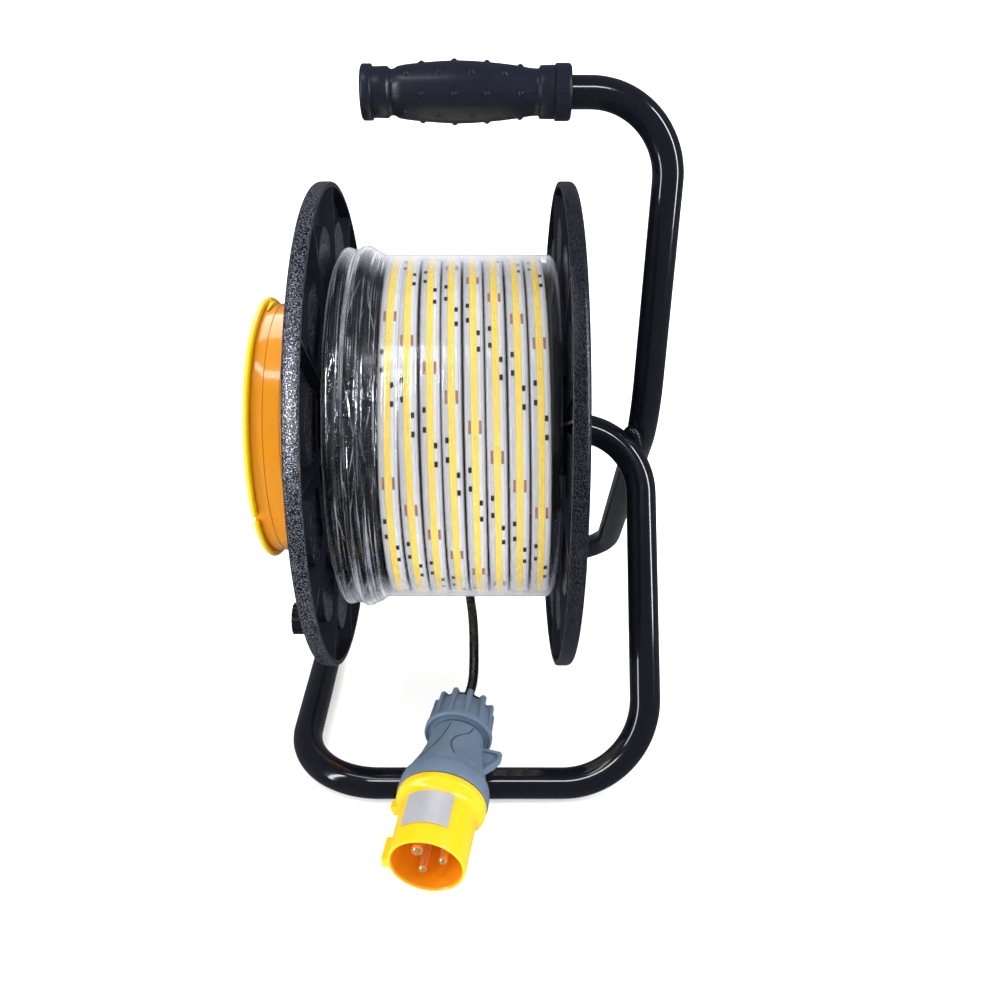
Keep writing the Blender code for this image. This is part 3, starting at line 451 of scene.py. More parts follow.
def add(name, shape, looks, body, place, sharp_deg=38.0):
    mesh = to_mesh(shape, name)
    thing = put_in_scene(name, mesh)
    thing.matrix_world = place
    for look in looks:
        mesh.materials.append(look)
    mesh.shade_smooth()
    mesh.set_sharp_from_angle(angle=radians(sharp_deg))
    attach(thing, body)
    return thing


def to_mesh(shape, name):
    bmesh.ops.recalc_face_normals(shape, faces=shape.faces)
    mesh = bpy.data.meshes.new(name)
    shape.to_mesh(mesh)
    shape.free()
    return mesh


def turn_into(shape, profile, segments, loop=False, index=0):
    """Add a turned form about local Z to a bmesh, from (radius, height) points."""
    rings = []
    for radius, height in profile:
        if radius < 1e-7:
            rings.append([shape.verts.new((0.0, 0.0, height))])
            continue
        ring = []
        for step in range(segments):
            angle = tau * step / segments
            ring.append(shape.verts.new((radius * cos(angle), radius * sin(angle), height)))
        rings.append(ring)
    pairs = list(zip(rings, rings[1:]))
    if loop:
        pairs.append((rings[-1], rings[0]))
    for first, second in pairs:
        for i in range(segments):
            j = (i + 1) % segments
            near = first[i % len(first)], first[j % len(first)]
            far = second[j % len(second)], second[i % len(second)]
            corners = list(dict.fromkeys(near + far))
            if len(corners) > 2:
                shape.faces.new(corners).material_index = index


def bridge(shape, first, second):
    """Join two closed rings of as many vertices."""
    for i in range(len(first)):
        j = (i + 1) % len(first)
        shape.faces.new((first[i], first[j], second[j], second[i]))


def spin(degrees):
    return Matrix.Rotation(radians(degrees), 4, "Z")


def block_into(shape, low, high, turn, index=0):
    """Add a box between two corners, turned by a matrix."""
    size = Vector(high) - Vector(low)
    middle = (Vector(high) + Vector(low)) / 2
    matrix = turn @ Matrix.Translation(middle) @ Matrix.Diagonal((*size, 1.0))
    made = bmesh.ops.create_cube(shape, size=1.0, matrix=matrix)
    faces = {face for vert in made["verts"] for face in vert.link_faces}
    for face in faces:
        face.material_index = index
    return made["verts"]


def soften(thing, width, segments=2, angle_deg=40.0):
    bevel = thing.modifiers.new("soft_edges", "BEVEL")
    bevel.width = width
    bevel.segments = segments
    bevel.limit_method = "ANGLE"
    bevel.angle_limit = radians(angle_deg)
    bevel.harden_normals = True
    return thing


def collect(name, things):
    group = bpy.data.collections.new(name)
    for thing in things:
        group.objects.link(thing)
    return group


def tube_curve(name, points, radius, resolution, look, body):
    curve = bpy.data.curves.new(name, "CURVE")
    curve.dimensions = "3D"
    curve.bevel_depth = radius
    curve.bevel_resolution = resolution
    curve.use_fill_caps = True
    spline = curve.splines.new("POLY")
    spline.points.add(len(points) - 1)
    for point, place in zip(spline.points, points):
        point.co = (*place, 1.0)
        point.radius = 1.0
    spline.use_smooth = True
    thing = put_in_scene(name, curve)
    curve.materials.append(look)
    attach(thing, body)
    return thing


def smooth_through(knots, steps):
    """Points of a smooth curve through the knots; each knot is a tuple of numbers."""
    knots = [Vector(knot) for knot in knots]
    padded = [2 * knots[0] - knots[1]] + knots + [2 * knots[-1] - knots[-2]]
    points = []
    for before, here, there, after in zip(padded, padded[1:], padded[2:], padded[3:]):
        for step in range(steps):
            t = step / steps
            points.append(0.5 * (
                2 * here + (there - before) * t + (2 * before - 5 * here + 4 * there - after) * t * t
                + (3 * here - before - 3 * there + after) * t * t * t
            ))
    points.append(knots[-1])
    return points


# Camera and lead

def make_camera():
    camera = bpy.data.cameras.new("camera")
    camera.lens = CAMERA_LENS
    camera.sensor_width = 36.0
    camera.shift_x = CAMERA_SHIFT
    view = put_in_scene("camera", camera)
    view.location = CAMERA_PLACE
    view.rotation_euler = (radians(90.0 - CAMERA_PITCH_DEG), 0.0, 0.0)
    bpy.context.scene.camera = view


def make_lead(look, pieces):
    points = smooth_through(CORD_POINTS, 3)
    lead = tube_curve("lead", points, CORD_RADIUS, 5, look, "stand")
    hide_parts("supply_cord")


# Stand and grip

def rounded_corner(before, corner, after, radius):
    arriving = (corner - before).normalized()
    leaving = (after - corner).normalized()
    turn = arriving.angle(leaving)
    start = corner - arriving * radius * math.tan(turn / 2)
    inward = (leaving - arriving * arriving.dot(leaving)).normalized()
    count = max(4, round(math.degrees(turn) / 3.0))
    angles = [turn * step / count for step in range(count + 1)]
    return [start + arriving * radius * sin(a) + inward * radius * (1 - cos(a)) for a in angles]


def stand_line():
    """The tube's centre line from the axle to the grip, and its bends. Each corner has its bend's radius."""
    corners = (
        ((-0.1113, 0.0, AXLE_HEIGHT), 0.0),
        ((FORK_X, 0.0, AXLE_HEIGHT), FORK_BEND),
        ((FORK_X, STAND_FRONT, TUBE_RADIUS), LOOP_BEND),
        ((STAND_LEFT, STAND_FRONT, TUBE_RADIUS), LOOP_BEND),
        ((STAND_LEFT, STAND_BACK, TUBE_RADIUS), LOOP_BEND),
        ((FORK_X + 0.005, STAND_BACK, TUBE_RADIUS), LOOP_BEND),
        (tuple(JUNCTION), UPRIGHT_BEND),
        ((HANDLE_X, HANDLE_Y, HANDLE_HEIGHT), HANDLE_BEND),
        ((GRIP_LEFT + 0.0033, HANDLE_Y, HANDLE_HEIGHT), 0.0),
    )
    places = [(REEL + Vector(place), radius) for place, radius in corners]
    points = [places[0][0]]
    bends = []
    for (before, _), (corner, radius), (after, _) in zip(places, places[1:], places[2:]):
        bend = rounded_corner(before, corner, after, radius)
        bends.append(bend)
        points += bend
    points.append(places[-1][0])
    return points, bends


def make_stand(look):
    points, bends = stand_line()
    stand = tube_curve("stand_bent_tube", points, TUBE_RADIUS, 9, look, "stand")
    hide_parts("stand_tube")
    fork_bend, upright_bend = bends[0], bends[5]
    fork, upright = min(
        ((a, b) for a in fork_bend for b in upright_bend), key=lambda pair: (pair[0] - pair[1]).length
    )
    middle = (fork + upright) / 2
    across = (upright - fork).normalized()
    along = (upright_bend[-1] - upright_bend[0]).normalized()
    up = (along - across * along.dot(across)).normalized()
    side = across.cross(up)
    turn = Matrix((side, up, across)).transposed().to_4x4()
    shape = bmesh.new()
    random.seed(4)
    count = 22
    for step in range(count):
        angle = tau * step / count
        center = Vector((0.005 * cos(angle), 0.0105 * sin(angle), 0.0))
        drop_size = (0.0028, 0.0026, 0.0038 + random.uniform(0, 0.0004), 1.0)
        matrix = Matrix.Translation(center) @ Matrix.Diagonal(drop_size)
        bmesh.ops.create_icosphere(shape, subdivisions=2, radius=1.0, matrix=matrix)
    weld = add("stand_weld", shape, [look], "stand", Matrix.Translation(middle) @ turn, 80.0)


def make_grip(look):
    """The grip's outline is (station, radius) in millimetres, stretched to the grip's length."""
    outline = (
        (0, 14.8), (0.4, 15.8), (1.2, 16.4), (6.2, 16.4), (6.8, 16.0), (7.1, 15.2), (7.4, 14.8), (11.0, 14.9),
        (16.4, 15.1), (17.0, 14.6), (18.2, 13.6), (19.6, 13.4), (21.0, 13.7), (23.2, 15.0), (27.0, 15.7),
        (33.0, 16.4), (40.0, 17.0), (50.0, 17.7), (60.0, 18.1), (70.0, 17.8), (80.0, 17.1), (88.0, 16.4),
        (95.0, 15.6), (100.0, 14.9), (104.0, 14.2), (108.0, 13.7), (111.0, 13.6), (111.6, 13.9),
        (112.2, 15.2), (112.8, 15.4), (120.8, 15.7), (121.3, 15.4), (121.7, 16.0), (122.2, 16.7),
        (130.0, 16.7), (130.9, 16.4), (131.8, 15.6),
    )
    scale = GRIP_LENGTH / outline[-1][0]
    outer = [(0.001 * radius, station * scale) for station, radius in outline]
    bore = TUBE_RADIUS + GAP
    profile = [(0.0, 0.0002), (0.011, 0.0002), (0.0135, 0.0)] + outer
    profile += [(bore, GRIP_LENGTH), (bore, 0.003), (0.0, 0.003)]
    shape = bmesh.new()
    turn_into(shape, profile, 72)

    def radius_at(along):
        for (low, near), (high, far) in zip(outer, outer[1:]):
            if far >= along >= near:
                return low + (high - low) * (along - near) / max(far - near, 1e-9)

    rows = (0.0283, 0.0477, 0.0675, 0.0873), (0.0372, 0.057, 0.0768, 0.0971)
    flat = Matrix.Rotation(radians(90), 4, "Y")
    for row in range(8):
        for along in rows[(row + 1) % 2]:
            radius = radius_at(along)
            matrix = spin(45 * row) @ Matrix.Translation((radius - 0.0002, 0.0, along))
            matrix = matrix @ Matrix.Diagonal((0.0014, 0.0017, 0.0017, 1.0))
            bmesh.ops.create_uvsphere(shape, u_segments=16, v_segments=10, radius=1.0, matrix=matrix)
            bmesh.ops.create_cone(
                shape, cap_ends=True, segments=20, radius1=0.0024, radius2=0.002, depth=0.0005,
                matrix=spin(45 * row) @ Matrix.Translation((radius, 0.0, along)) @ flat,
            )
    line = [(radius + 0.00005, along) for radius, along in outer if 0.0008 < along < GRIP_LENGTH - 0.0012]
    for turn in (spin(0.0), spin(180.0)):
        for (near, low), (far, high) in zip(line, line[1:]):
            verts = [
                shape.verts.new(turn @ Vector((radius + lift, side, along)))
                for radius, along in ((near, low), (far, high))
                for lift, side in ((-0.0004, -0.00022), (0.00012, 0.0), (-0.0004, 0.00022))
            ]
            for a, b, c, d in ((0, 1, 4, 3), (1, 2, 5, 4)):
                shape.faces.new((verts[a], verts[b], verts[c], verts[d]))
    place = Matrix.Translation(REEL + Vector((GRIP_LEFT, HANDLE_Y, HANDLE_HEIGHT))) @ AXLE_TURN
    grip = add("grip_moulded", shape, [look], "stand", place, 50.0)
    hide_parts("handle_grip")


# Winding

def strip_place(turn):
    """Height along the axle, drop of the radius and angle of the strip after some turns."""
    along = STRIP_LEFT + STRIP_PITCH * turn
    along = max(along, STRIP_LEFT + STRIP_HALF + 0.0003)
    along = min(along, STRIP_RIGHT + 0.0001)
    drop = 0.0056 * max(0.0, 1 - turn / 0.22) ** 2
    return along, drop, tau * (turn - 0.5)


def mark_run(turn):
    """Metres along the strip as its printed pattern counts them."""
    whole = math.floor(turn)
    part = turn - whole
    slip = -0.5 * max(0.0, 1 - part / 0.25) + 0.5 * max(0.0, (part - 0.75) / 0.25)
    return tau * MARK_RADIUS * turn - MARK_SLIP * (whole + slip)


def make_strip(look, chip, tin, core):
    half = (
        (0.002, 0.0), (0.0045, -0.0001), (0.0053, -0.0004), (0.00585, -0.001), (STRIP_HALF, -0.0018),
        (0.00585, -STRIP_THICK),
    )
    section = [(-across, height) for across, height in reversed(half)] + [(0.0, 0.0001), *half]
    steps = 112
    shape = bmesh.new()
    layer = shape.loops.layers.uv.new("run")
    previous = None
    random.seed(11)
    sway = [random.uniform(0, 7) for _ in range(3)]
    for step in range(STRIP_TURNS * steps + 1):
        turn = step / steps
        along, drop, angle = strip_place(turn)
        lean = 0.0002 * sin(3 * angle / 2 + sway[0]) + 0.00014 * sin(turn * 9.1 + sway[1])
        lift = 0.00022 * noise.noise(Vector((turn * 5.0, 0.3, 1.7)))
        run = mark_run(turn)
        ring = []
        for across, height in section:
            radius = STRIP_TOP - drop + height + lift
            place = (radius * cos(angle), radius * sin(angle), along + lean + across)
            ring.append((shape.verts.new(place), across, run))
        if previous:
            for (a, b), (c, d) in zip(zip(previous, previous[1:]), zip(ring, ring[1:])):
                face = shape.faces.new((a[0], b[0], d[0], c[0]))
                for loop in face.loops:
                    for vert, across, value in (a, b, c, d):
                        if loop.vert == vert:
                            loop[layer].uv = (100 * across, 100 * value)
        previous = ring
    strip = add("strip_turns", shape, [look], "drum", DRUM_PLACE, 60.0)

    chips = bmesh.new()
    offsets = ((0.0243, -0.0032), (0.0355, -0.0032), (0.0443, 0.0029), (0.055, 0.0029))
    total = mark_run(STRIP_TURNS - 0.02)
    for mark in range(-1, int(total / MARK_PERIOD) + 1):
        for ahead, across in offsets:
            wanted = MARK_START + mark * MARK_PERIOD + ahead
            if not mark_run(0.3) < wanted < total:
                continue
            low, high = 0.0, float(STRIP_TURNS)
            for _ in range(30):
                middle = (low + high) / 2
                if mark_run(middle) < wanted:
                    low = middle
                else:
                    high = middle
            along, drop, angle = strip_place(low)
            matrix = Matrix.Rotation(angle, 4, "Z")
            matrix = matrix @ Matrix.Translation((STRIP_TOP - drop, 0.0, along + across))
            block_into(chips, (-0.0002, -0.0015, -0.00095), (0.00032, 0.0015, 0.00095), matrix, 0)
            for end in (-1, 1):
                low_y, high_y = sorted((end * 0.0015, end * 0.0018))
                block_into(chips, (-0.0002, low_y, -0.0006), (0.00024, high_y, 0.0006), matrix, 1)
    parts = add("strip_chips", chips, [chip, tin], "drum", DRUM_PLACE)

    bed = bmesh.new()
    left, top = STRIP_LEFT + 0.0005, STRIP_TOP - STRIP_THICK + 0.0012
    profile = [(top, left), (top, STRIP_RIGHT), (BARREL_RADIUS, STRIP_RIGHT), (BARREL_RADIUS, left)]
    turn_into(bed, profile, 96, True)
    below = add("strip_layers_below", bed, [core], "drum", DRUM_PLACE)
    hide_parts("strip_coil")


def cable_line(turns, start, pitch, radius, seed):
    random.seed(seed)
    phase = random.uniform(0, 6)
    points = []
    for step in range(int(turns * 72) + 1):
        turn = step / 72
        angle = tau * turn
        wander = 0.0006 * sin(angle * 0.7 + phase) + 0.0004 * sin(angle * 2.3 + phase)
        here = radius + 0.0006 * sin(angle * 1.3 + phase)
        points.append((here * cos(angle), here * sin(angle), start + pitch * turn + wander))
    return points


def make_cable(look):
    lines = (
        ("wound_cable_outer", cable_line(1.4, -0.0825, 0.0056, 0.1152, 5)),
        ("wound_cable_middle", cable_line(3.7, -0.092, 0.0057, 0.1124, 6)),
        ("wound_cable_left", cable_line(1.0, -0.0915, 0.003, 0.1144, 7)),
    )
    for name, points in lines:
        points = [DRUM_PLACE @ Vector(point) for point in points]
        cable = tube_curve(name, points, CABLE_RADIUS, 4, look, "drum")
    bed = bmesh.new()
    left, right, top, bottom = CABLE_LEFT + 0.0006, STRIP_LEFT - GAP, 0.1125, BARREL_RADIUS
    profile = [(top, left + 0.001), (top, right), (bottom, right), (bottom, left), (0.11, left)]
    turn_into(bed, profile, 96, True)
    below = add("wound_cable_below", bed, [look], "drum", DRUM_PLACE)
    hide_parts("cable_coil")


def film_radius(along, angle):
    cable = min(1.0, max(0.0, (STRIP_LEFT - 0.0024 - along) / 0.006))
    cable = cable * cable * (3 - 2 * cable)
    bundles = 0.003 + 0.003 * math.exp(-(((along + 0.0785) / 0.0046) ** 2))
    bundles += 0.0018 * math.exp(-(((along + 0.0915) / 0.0038) ** 2))
    radius = FILM_OVER_STRIP + bundles * cable
    spot = Vector((along * 240, cos(angle) * 1.6, sin(angle) * 1.6))
    fold = noise.noise(spot) + 0.5 * noise.noise(spot * 2.3)
    radius += (0.00006 + 0.0005 * cable) * fold
    left_edge = max(0.0, (CABLE_LEFT + 0.004 - along) / 0.004)
    right_edge = min(1.0, max(0.0, (along - (DRUM_RIGHT - 0.0056)) / 0.0036))
    frill = 1 + 0.4 * noise.noise(Vector((cos(angle) * 6, sin(angle) * 6, 3.0)))
    return min(radius, FILM_LIMIT) - 0.0046 * left_edge ** 2 * frill - 0.0038 * right_edge ** 2 * frill


def make_film(look):
    shape = bmesh.new()
    layer = shape.loops.layers.uv.new("run")
    left, right = CABLE_LEFT + 0.0002, DRUM_RIGHT - 0.0018
    columns, steps = 118, 260
    grid = []
    for column in range(columns + 1):
        along = left + (right - left) * column / columns
        ring = []
        for step in range(steps + 1):
            angle = tau * step / steps - pi
            radius = film_radius(along, angle)
            here = (radius * cos(angle), radius * sin(angle), along)
            if step == steps:
                ring.append((ring[0][0], along, angle))
            else:
                ring.append((shape.verts.new(here), along, angle))
        grid.append(ring)
    for first, second in zip(grid, grid[1:]):
        for i in range(steps):
            corners = (first[i], first[i + 1], second[i + 1], second[i])
            face = shape.faces.new([corner[0] for corner in corners])
            for loop, (_, along, angle) in zip(face.loops, corners):
                loop[layer].uv = (100 * along, 11.5 * angle)
    film = add("stretch_wrap", shape, [look], "drum", DRUM_PLACE, 180.0)
    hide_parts("stretch_film")


# Drum ends, cover and knob

def dress_node(name, look, width=0.0):
    node = frame["nodes"][name]
    for slot in node.material_slots:
        slot.material = look
    if not node.material_slots:
        node.data.materials.append(look)
    if width:
        soften(node, width)
    return node


def arc_into(shape, profile, start, end, steps, taper=None):
    """Sweep a closed (radius, height) outline round local Z between two angles and cap its ends."""
    rings = []
    middle = sum((Vector(point) for point in profile), Vector((0.0, 0.0))) / len(profile)
    for step in range(steps + 1):
        share = step / steps
        angle = start + (end - start) * share
        scale = taper(share) if taper else 1.0
        ring = []
        for point in profile:
            radius, height = middle + (Vector(point) - middle) * scale
            ring.append(shape.verts.new((radius * cos(angle), radius * sin(angle), height)))
        rings.append(ring)
    for first, second in zip(rings, rings[1:]):
        bridge(shape, first, second)
    shape.faces.new(rings[0])
    shape.faces.new(rings[-1])


def make_cover(wall_look, rim_look):
    seat = DRUM_LEFT - FLANGE_WIDTH - GAP
    top = seat - COVER_HEIGHT
    wall = COVER_WALL
    profile = [
        (0.0, top + 0.006), (0.07, top + 0.006), (0.079, top + 0.0058), (wall - 0.0034, top + 0.005),
        (wall - 0.0028, top + 0.0016), (wall - 0.002, top + 0.001), (wall - 0.0004, top + 0.001),
        (wall, top + 0.0018), (wall, top + 0.011), (wall - 0.0004, top + 0.0114),
        (wall - 0.0005, top + 0.021), (wall - 0.0009, top + 0.0214), (wall - 0.001, seat - 0.0022),
        (wall + 0.0006, seat - 0.0016),
        (wall + 0.0006, seat), (wall - 0.0034, seat), (wall - 0.0036, top + 0.0084), (0.0, top + 0.0084),
    ]
    shape = bmesh.new()
    turn_into(shape, profile, 160)
    cover = add("hub_cup", shape, [wall_look], "drum", DRUM_PLACE, 30.0)
    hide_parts("hub_cover")

    bead = []
    middle, height = (wall + COVER_RIM) / 2 - 0.0002, top + 0.002
    for step in range(16):
        angle = tau * step / 16
        bead.append((middle + 0.00235 * cos(angle), height + 0.002 * sin(angle)))

    def ends(share):
        near = min(share, 1 - share) * 300
        return math.sqrt(max(0.06, 1 - max(0.0, 1 - near) ** 2))

    shape = bmesh.new()
    top_gap, low_gap = radians(TOP_GAP_DEG), radians(LOW_GAP_DEG)
    arc_into(shape, bead, top_gap + 0.022, low_gap - 0.028, 240, ends)
    arc_into(shape, bead, low_gap + 0.028, tau + top_gap - 0.022, 400, ends)
    tongue = [(wall + 0.0002, top + 0.0044), (wall + 0.002, top + 0.0048), (wall + 0.0021, top + 0.0072),
              (wall + 0.0002, top + 0.0078)]
    arc_into(shape, tongue, top_gap + 0.01, top_gap + 0.24, 24, lambda share: 1 - 0.75 * share ** 2)
    bead_piece = add("hub_cup_rim", shape, [rim_look], "drum", DRUM_PLACE, 50.0)


def make_drum(smooth, edge_highlight):
    for name in ("flange_left", "flange_right"):
        node = dress_node(name, smooth)
        # The bevel faces take the second look, a painted highlight along the edges.
        node.data.materials.append(edge_highlight)
        soften(node, 0.00065, 2).modifiers[-1].material = 1
    dress_node("drum_barrel", smooth)
    dress_node("axle_cap", smooth, 0.0004)
    dress_node("crank_knob", smooth, 0.0004)


def make_pad_skins(looks):
    """Grained skins on the twelve arched pads inside each drum end."""
    top = FLANGE_WIDTH - 0.0085
    for (side, plane, outward), look in zip(SIDES, looks):
        name = "pad_skin_" + side
        shape = bmesh.new()
        for index in range(12):
            verts = []
            for step in range(17):
                share = step / 16
                angle = radians(3.0 + 21.0 * share)
                hollow = PAD_ARCH * (1 - sin(pi * share))
                reach = PAD_OUTER - (PAD_OUTER - PAD_INNER) * hollow - PAD_MARGIN
                verts.append((reach, angle + PAD_MARGIN / reach * (1 - 2 * share)))
            low = [(PAD_INNER + PAD_MARGIN, angle) for _, angle in (verts[-1], verts[0])]
            ring = []
            for radius, angle in verts + low:
                spun = angle + tau * index / 12
                ring.append(shape.verts.new((radius * cos(spun), radius * sin(spun), top)))
            shape.faces.new(ring)
        turn = Matrix.Rotation(radians(90 * outward), 4, "Y") @ spin(8.0)
        place = Matrix.Translation(REEL + Vector((plane, 0.0, AXLE_HEIGHT))) @ turn
        skin = add(name, shape, [look], "drum", place, 40.0)


def make_rims(looks):
    """A grained skin that lies on each drum end's rim, outer edge and outer face."""
    for (side, plane, outward), look in zip(SIDES, looks):
        name = "rim_skin_" + side
        profile = [(0.03, FLANGE_WIDTH + SKIN)]
        for step in range(9):
            angle = radians(90 * step / 8)
            radius = FLANGE_RADIUS - RIM_ROUNDING + (RIM_ROUNDING + SKIN) * sin(angle)
            along = FLANGE_WIDTH - RIM_ROUNDING + (RIM_ROUNDING + SKIN) * cos(angle)
            profile.append((radius, along))
        profile.append((FLANGE_RADIUS + SKIN, 0.0012))
        profile += [(FLANGE_RADIUS - 0.0002, 0.0002), (FLANGE_RADIUS - 0.001, -SKIN)]
        shape = bmesh.new()
        turn_into(shape, [(radius, plane + outward * along) for radius, along in profile], 180)
        rim = add(name, shape, [look], "drum", DRUM_PLACE, 40.0)


# Plug

def plug_place():
    tilt, yaw = radians(PLUG_TILT_DEG), radians(PLUG_YAW_DEG)
    out = Vector((-sin(yaw) * cos(tilt), -cos(yaw) * cos(tilt), -sin(tilt)))
    right = Vector((cos(yaw), -sin(yaw), 0.0))
    up = out.cross(right)
    return Matrix.Translation(PLUG_MOUTH) @ Matrix((right, up, out)).transposed().to_4x4()


def body_profile():
    """Grey body as (radius, station back from the mouth)."""
    collar = SHROUD_LENGTH + GAP
    knots = (
        (0.0252, 0.059), (0.0237, 0.064), (0.0222, 0.068), (0.0206, 0.0725), (0.0193, 0.078),
        (0.0181, 0.084), (0.0175, 0.089), (0.017, 0.095),
    )
    waist = [(point.x, point.y) for point in smooth_through([(r, s, 0.0) for r, s in knots], 4)]
    steps = (
        (-0.001, 0.0), (-0.0003, 0.0004), (0.0, 0.0012), (-0.0002, 0.008), (-0.0008, 0.011),
        (-0.0013, 0.0117), (-0.002, 0.0121),
    )
    return [(COLLAR_RADIUS + wider, collar + back) for wider, back in steps] + waist


def on_body(station, degrees, lift=0.0):
    for (near, low), (far, high) in zip(body_profile(), body_profile()[1:]):
        if low <= station <= high:
            radius = near + (far - near) * (station - low) / max(high - low, 1e-9)
            angle = radians(degrees)
            return Vector(((radius + lift) * cos(angle), (radius + lift) * sin(angle), -station))
    return Vector((0.0, 0.0, -station))


def make_plug_body(grey, dark, place):
    shape = bmesh.new()
    profile = [(0.0, -SHROUD_LENGTH - GAP)] + [(radius, -station) for radius, station in body_profile()]
    profile += [(0.0145, -0.0955), (0.0145, -0.111), (0.0, -0.111)]
    turn_into(shape, profile, 96)
    body = add("plug_grey_body", shape, [grey], "stand", place, 32.0)
    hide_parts("plug_body")

    seams = (
        ((0.0925, 100, 0), (0.086, 105, 0), (0.079, 111, 0), (0.072, 118, 0), (0.065, 125, 0),
         (0.0605, 130, 0)),
        ((0.093, 50, 0), (0.088, 57, 0), (0.084, 71, 0), (0.08, 83, 0), (0.075, 87, 0), (0.07, 84, 0),
         (0.063, 77, 0)),
    )
    lines = []
    for index, knots in enumerate(seams):
        points = [place @ on_body(point.x, point.y, -0.00005) for point in smooth_through(knots, 6)]
        seam = tube_curve("plug_seam_%d" % index, points, 0.00042, 2, dark, "stand")
        lines.append(seam)
    return body, lines


def make_ear(grey, place):
    """A lug with a sunk field on both of its faces."""
    ear = bmesh.new()
    outline = ((0.016, -0.067), (0.0265, -0.079), (0.0298, -0.0845), (0.0302, -0.0875), (0.0288, -0.0898),
               (0.016, -0.09))
    inset = ((0.018, -0.073), (0.0255, -0.0812), (0.0272, -0.0845), (0.027, -0.0868), (0.0262, -0.0876),
             (0.018, -0.0878))
    outers = []
    for side in (-1, 1):
        outer, inner, deep = (
            [ear.verts.new((x, side * half, z)) for x, z in line]
            for line, half in ((outline, 0.003), (inset, 0.003), (inset, 0.0009))
        )
        bridge(ear, outer, inner)
        bridge(ear, inner, deep)
        ear.faces.new(deep)
        outers.append(outer)
    bridge(ear, *outers)
    lug = add("plug_ear", ear, [grey], "stand", place @ spin(-8.0), 30.0)
    soften(lug, 0.0005)
    return lug


def make_nut(grey, black, place):
    """The gland nut, the ribs round it and the rubber seal inside, whose black ring reaches out between the
    rib tips as painted shade.
    """
    bore = CORD_RADIUS + GAP
    nut = bmesh.new()
    front, back = -NUT_STATION, -NUT_STATION - NUT_LENGTH
    profile = [
        (0.0148, front), (0.0172, front), (0.0176, front - 0.0012), (0.02, front - 0.0012), (0.0204, front),
        (NUT_RADIUS - 0.0008, front), (NUT_RADIUS, front - 0.0008), (NUT_RADIUS, front - 0.0034),
        (NUT_RADIUS - 0.0008, front - 0.0044), (0.0197, front - 0.005), (0.0192, front - 0.012),
        (0.018, back + 0.0024), (0.0172, back + 0.0008), (0.0162, back), (0.0142, back),
        (0.0128, back + 0.005), (bore, back + 0.005), (bore, front - 0.015), (0.0148, front - 0.015),
    ]
    turn_into(nut, profile, 96, True)
    cap = add("plug_gland_nut", nut, [grey], "stand", place, 32.0)
    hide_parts("gland_nut")

    ribs = bmesh.new()
    low, high = (0.014, -0.0019, back - 0.003), (0.0211, 0.0019, front - 0.0036)
    for index in range(12):
        turn = spin(30 * (index + 0.5))
        for vert in block_into(ribs, low, high, turn):
            flat = turn.inverted() @ vert.co
            if vert.co.z < back + 0.001 and flat.x > 0.018:
                flat.x -= 0.0009
                vert.co = turn @ flat
    rib_piece = add("plug_nut_ribs", ribs, [grey], "stand", place, 30.0)
    soften(rib_piece, 0.0013, 4)

    # The seal's ring reaches out past the nut between the rib tips: painted shade there, beyond the real
    # seal.
    seal = bmesh.new()
    ring = (
        (0.0126, 0.0048), (0.0162, 0.0002), (0.0166, -0.001), (0.0158, -0.0024), (0.014, -0.0026),
        (0.0126, -0.0006), (0.0112, 0.0022), (0.0086, 0.0012), (0.006, 0.001), (bore, 0.0016),
        (bore, 0.0048),
    )
    turn_into(seal, [(radius, back + ahead) for radius, ahead in ring], 48, True)
    rubber = add("plug_gland_seal", seal, [black], "stand", place, 40.0)
    return cap, rib_piece, rubber


def make_shroud(yellow, inside_shade, place):
    inner, wide, ring = SHROUD_RADIUS - SHROUD_WALL, SHROUD_RADIUS, RING_RADIUS
    back = -SHROUD_LENGTH
    shroud = bmesh.new()
    lip = (inner + 0.0007, -0.0001)
    outside = [
        lip, (wide - 0.0007, 0.0), (wide - 0.0002, -0.0003), (wide, -0.001), (wide + 0.0004, back + 0.012),
        (wide + 0.0009, back + 0.0092), (wide + 0.0018, back + 0.0072), (ring - 0.0016, back + 0.0058),
        (ring - 0.0004, back + 0.0048), (ring, back + 0.0036), (ring, back + 0.0006), (ring - 0.0006, back),
        (0.0, back),
    ]
    turn_into(shroud, outside, 112)
    inside = [
        (0.0, -SHROUD_DEPTH), (inner - 0.0012, -SHROUD_DEPTH), (inner, -SHROUD_DEPTH + 0.0012),
        (inner, -0.001), lip,
    ]
    # The inside faces take the second look, the painted shade of the yellow.
    turn_into(shroud, inside, 112, False, 1)
    bmesh.ops.remove_doubles(shroud, verts=shroud.verts, dist=0.00002)
    block_into(shroud, (wide - 0.0011, -0.0035, -0.016), (wide + 0.0036, 0.0035, -0.0004), spin(185.0))
    nub_low, nub_high = (ring - 0.003, -0.00375, back + 0.0004), (ring + 0.0032, 0.00375, back + 0.006)
    block_into(shroud, nub_low, nub_high, spin(192.0))
    cup = add("plug_yellow_shroud", shroud, [yellow, inside_shade], "stand", place, 32.0)
    soften(cup, 0.0005, 2, 50.0)
    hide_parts("plug_shroud")
    return cup


def make_pin_ends(brass, place):
    domes = bmesh.new()
    for degrees, radius in PIN_ENDS:
        matrix = Matrix.Translation(spin(degrees) @ Vector((PIN_CIRCLE, 0.0, -PIN_RECESS - radius)))
        bmesh.ops.create_uvsphere(domes, u_segments=32, v_segments=20, radius=radius, matrix=matrix)
    tips = add("plug_pin_ends", domes, [brass], "stand", place, 60.0)
    return tips


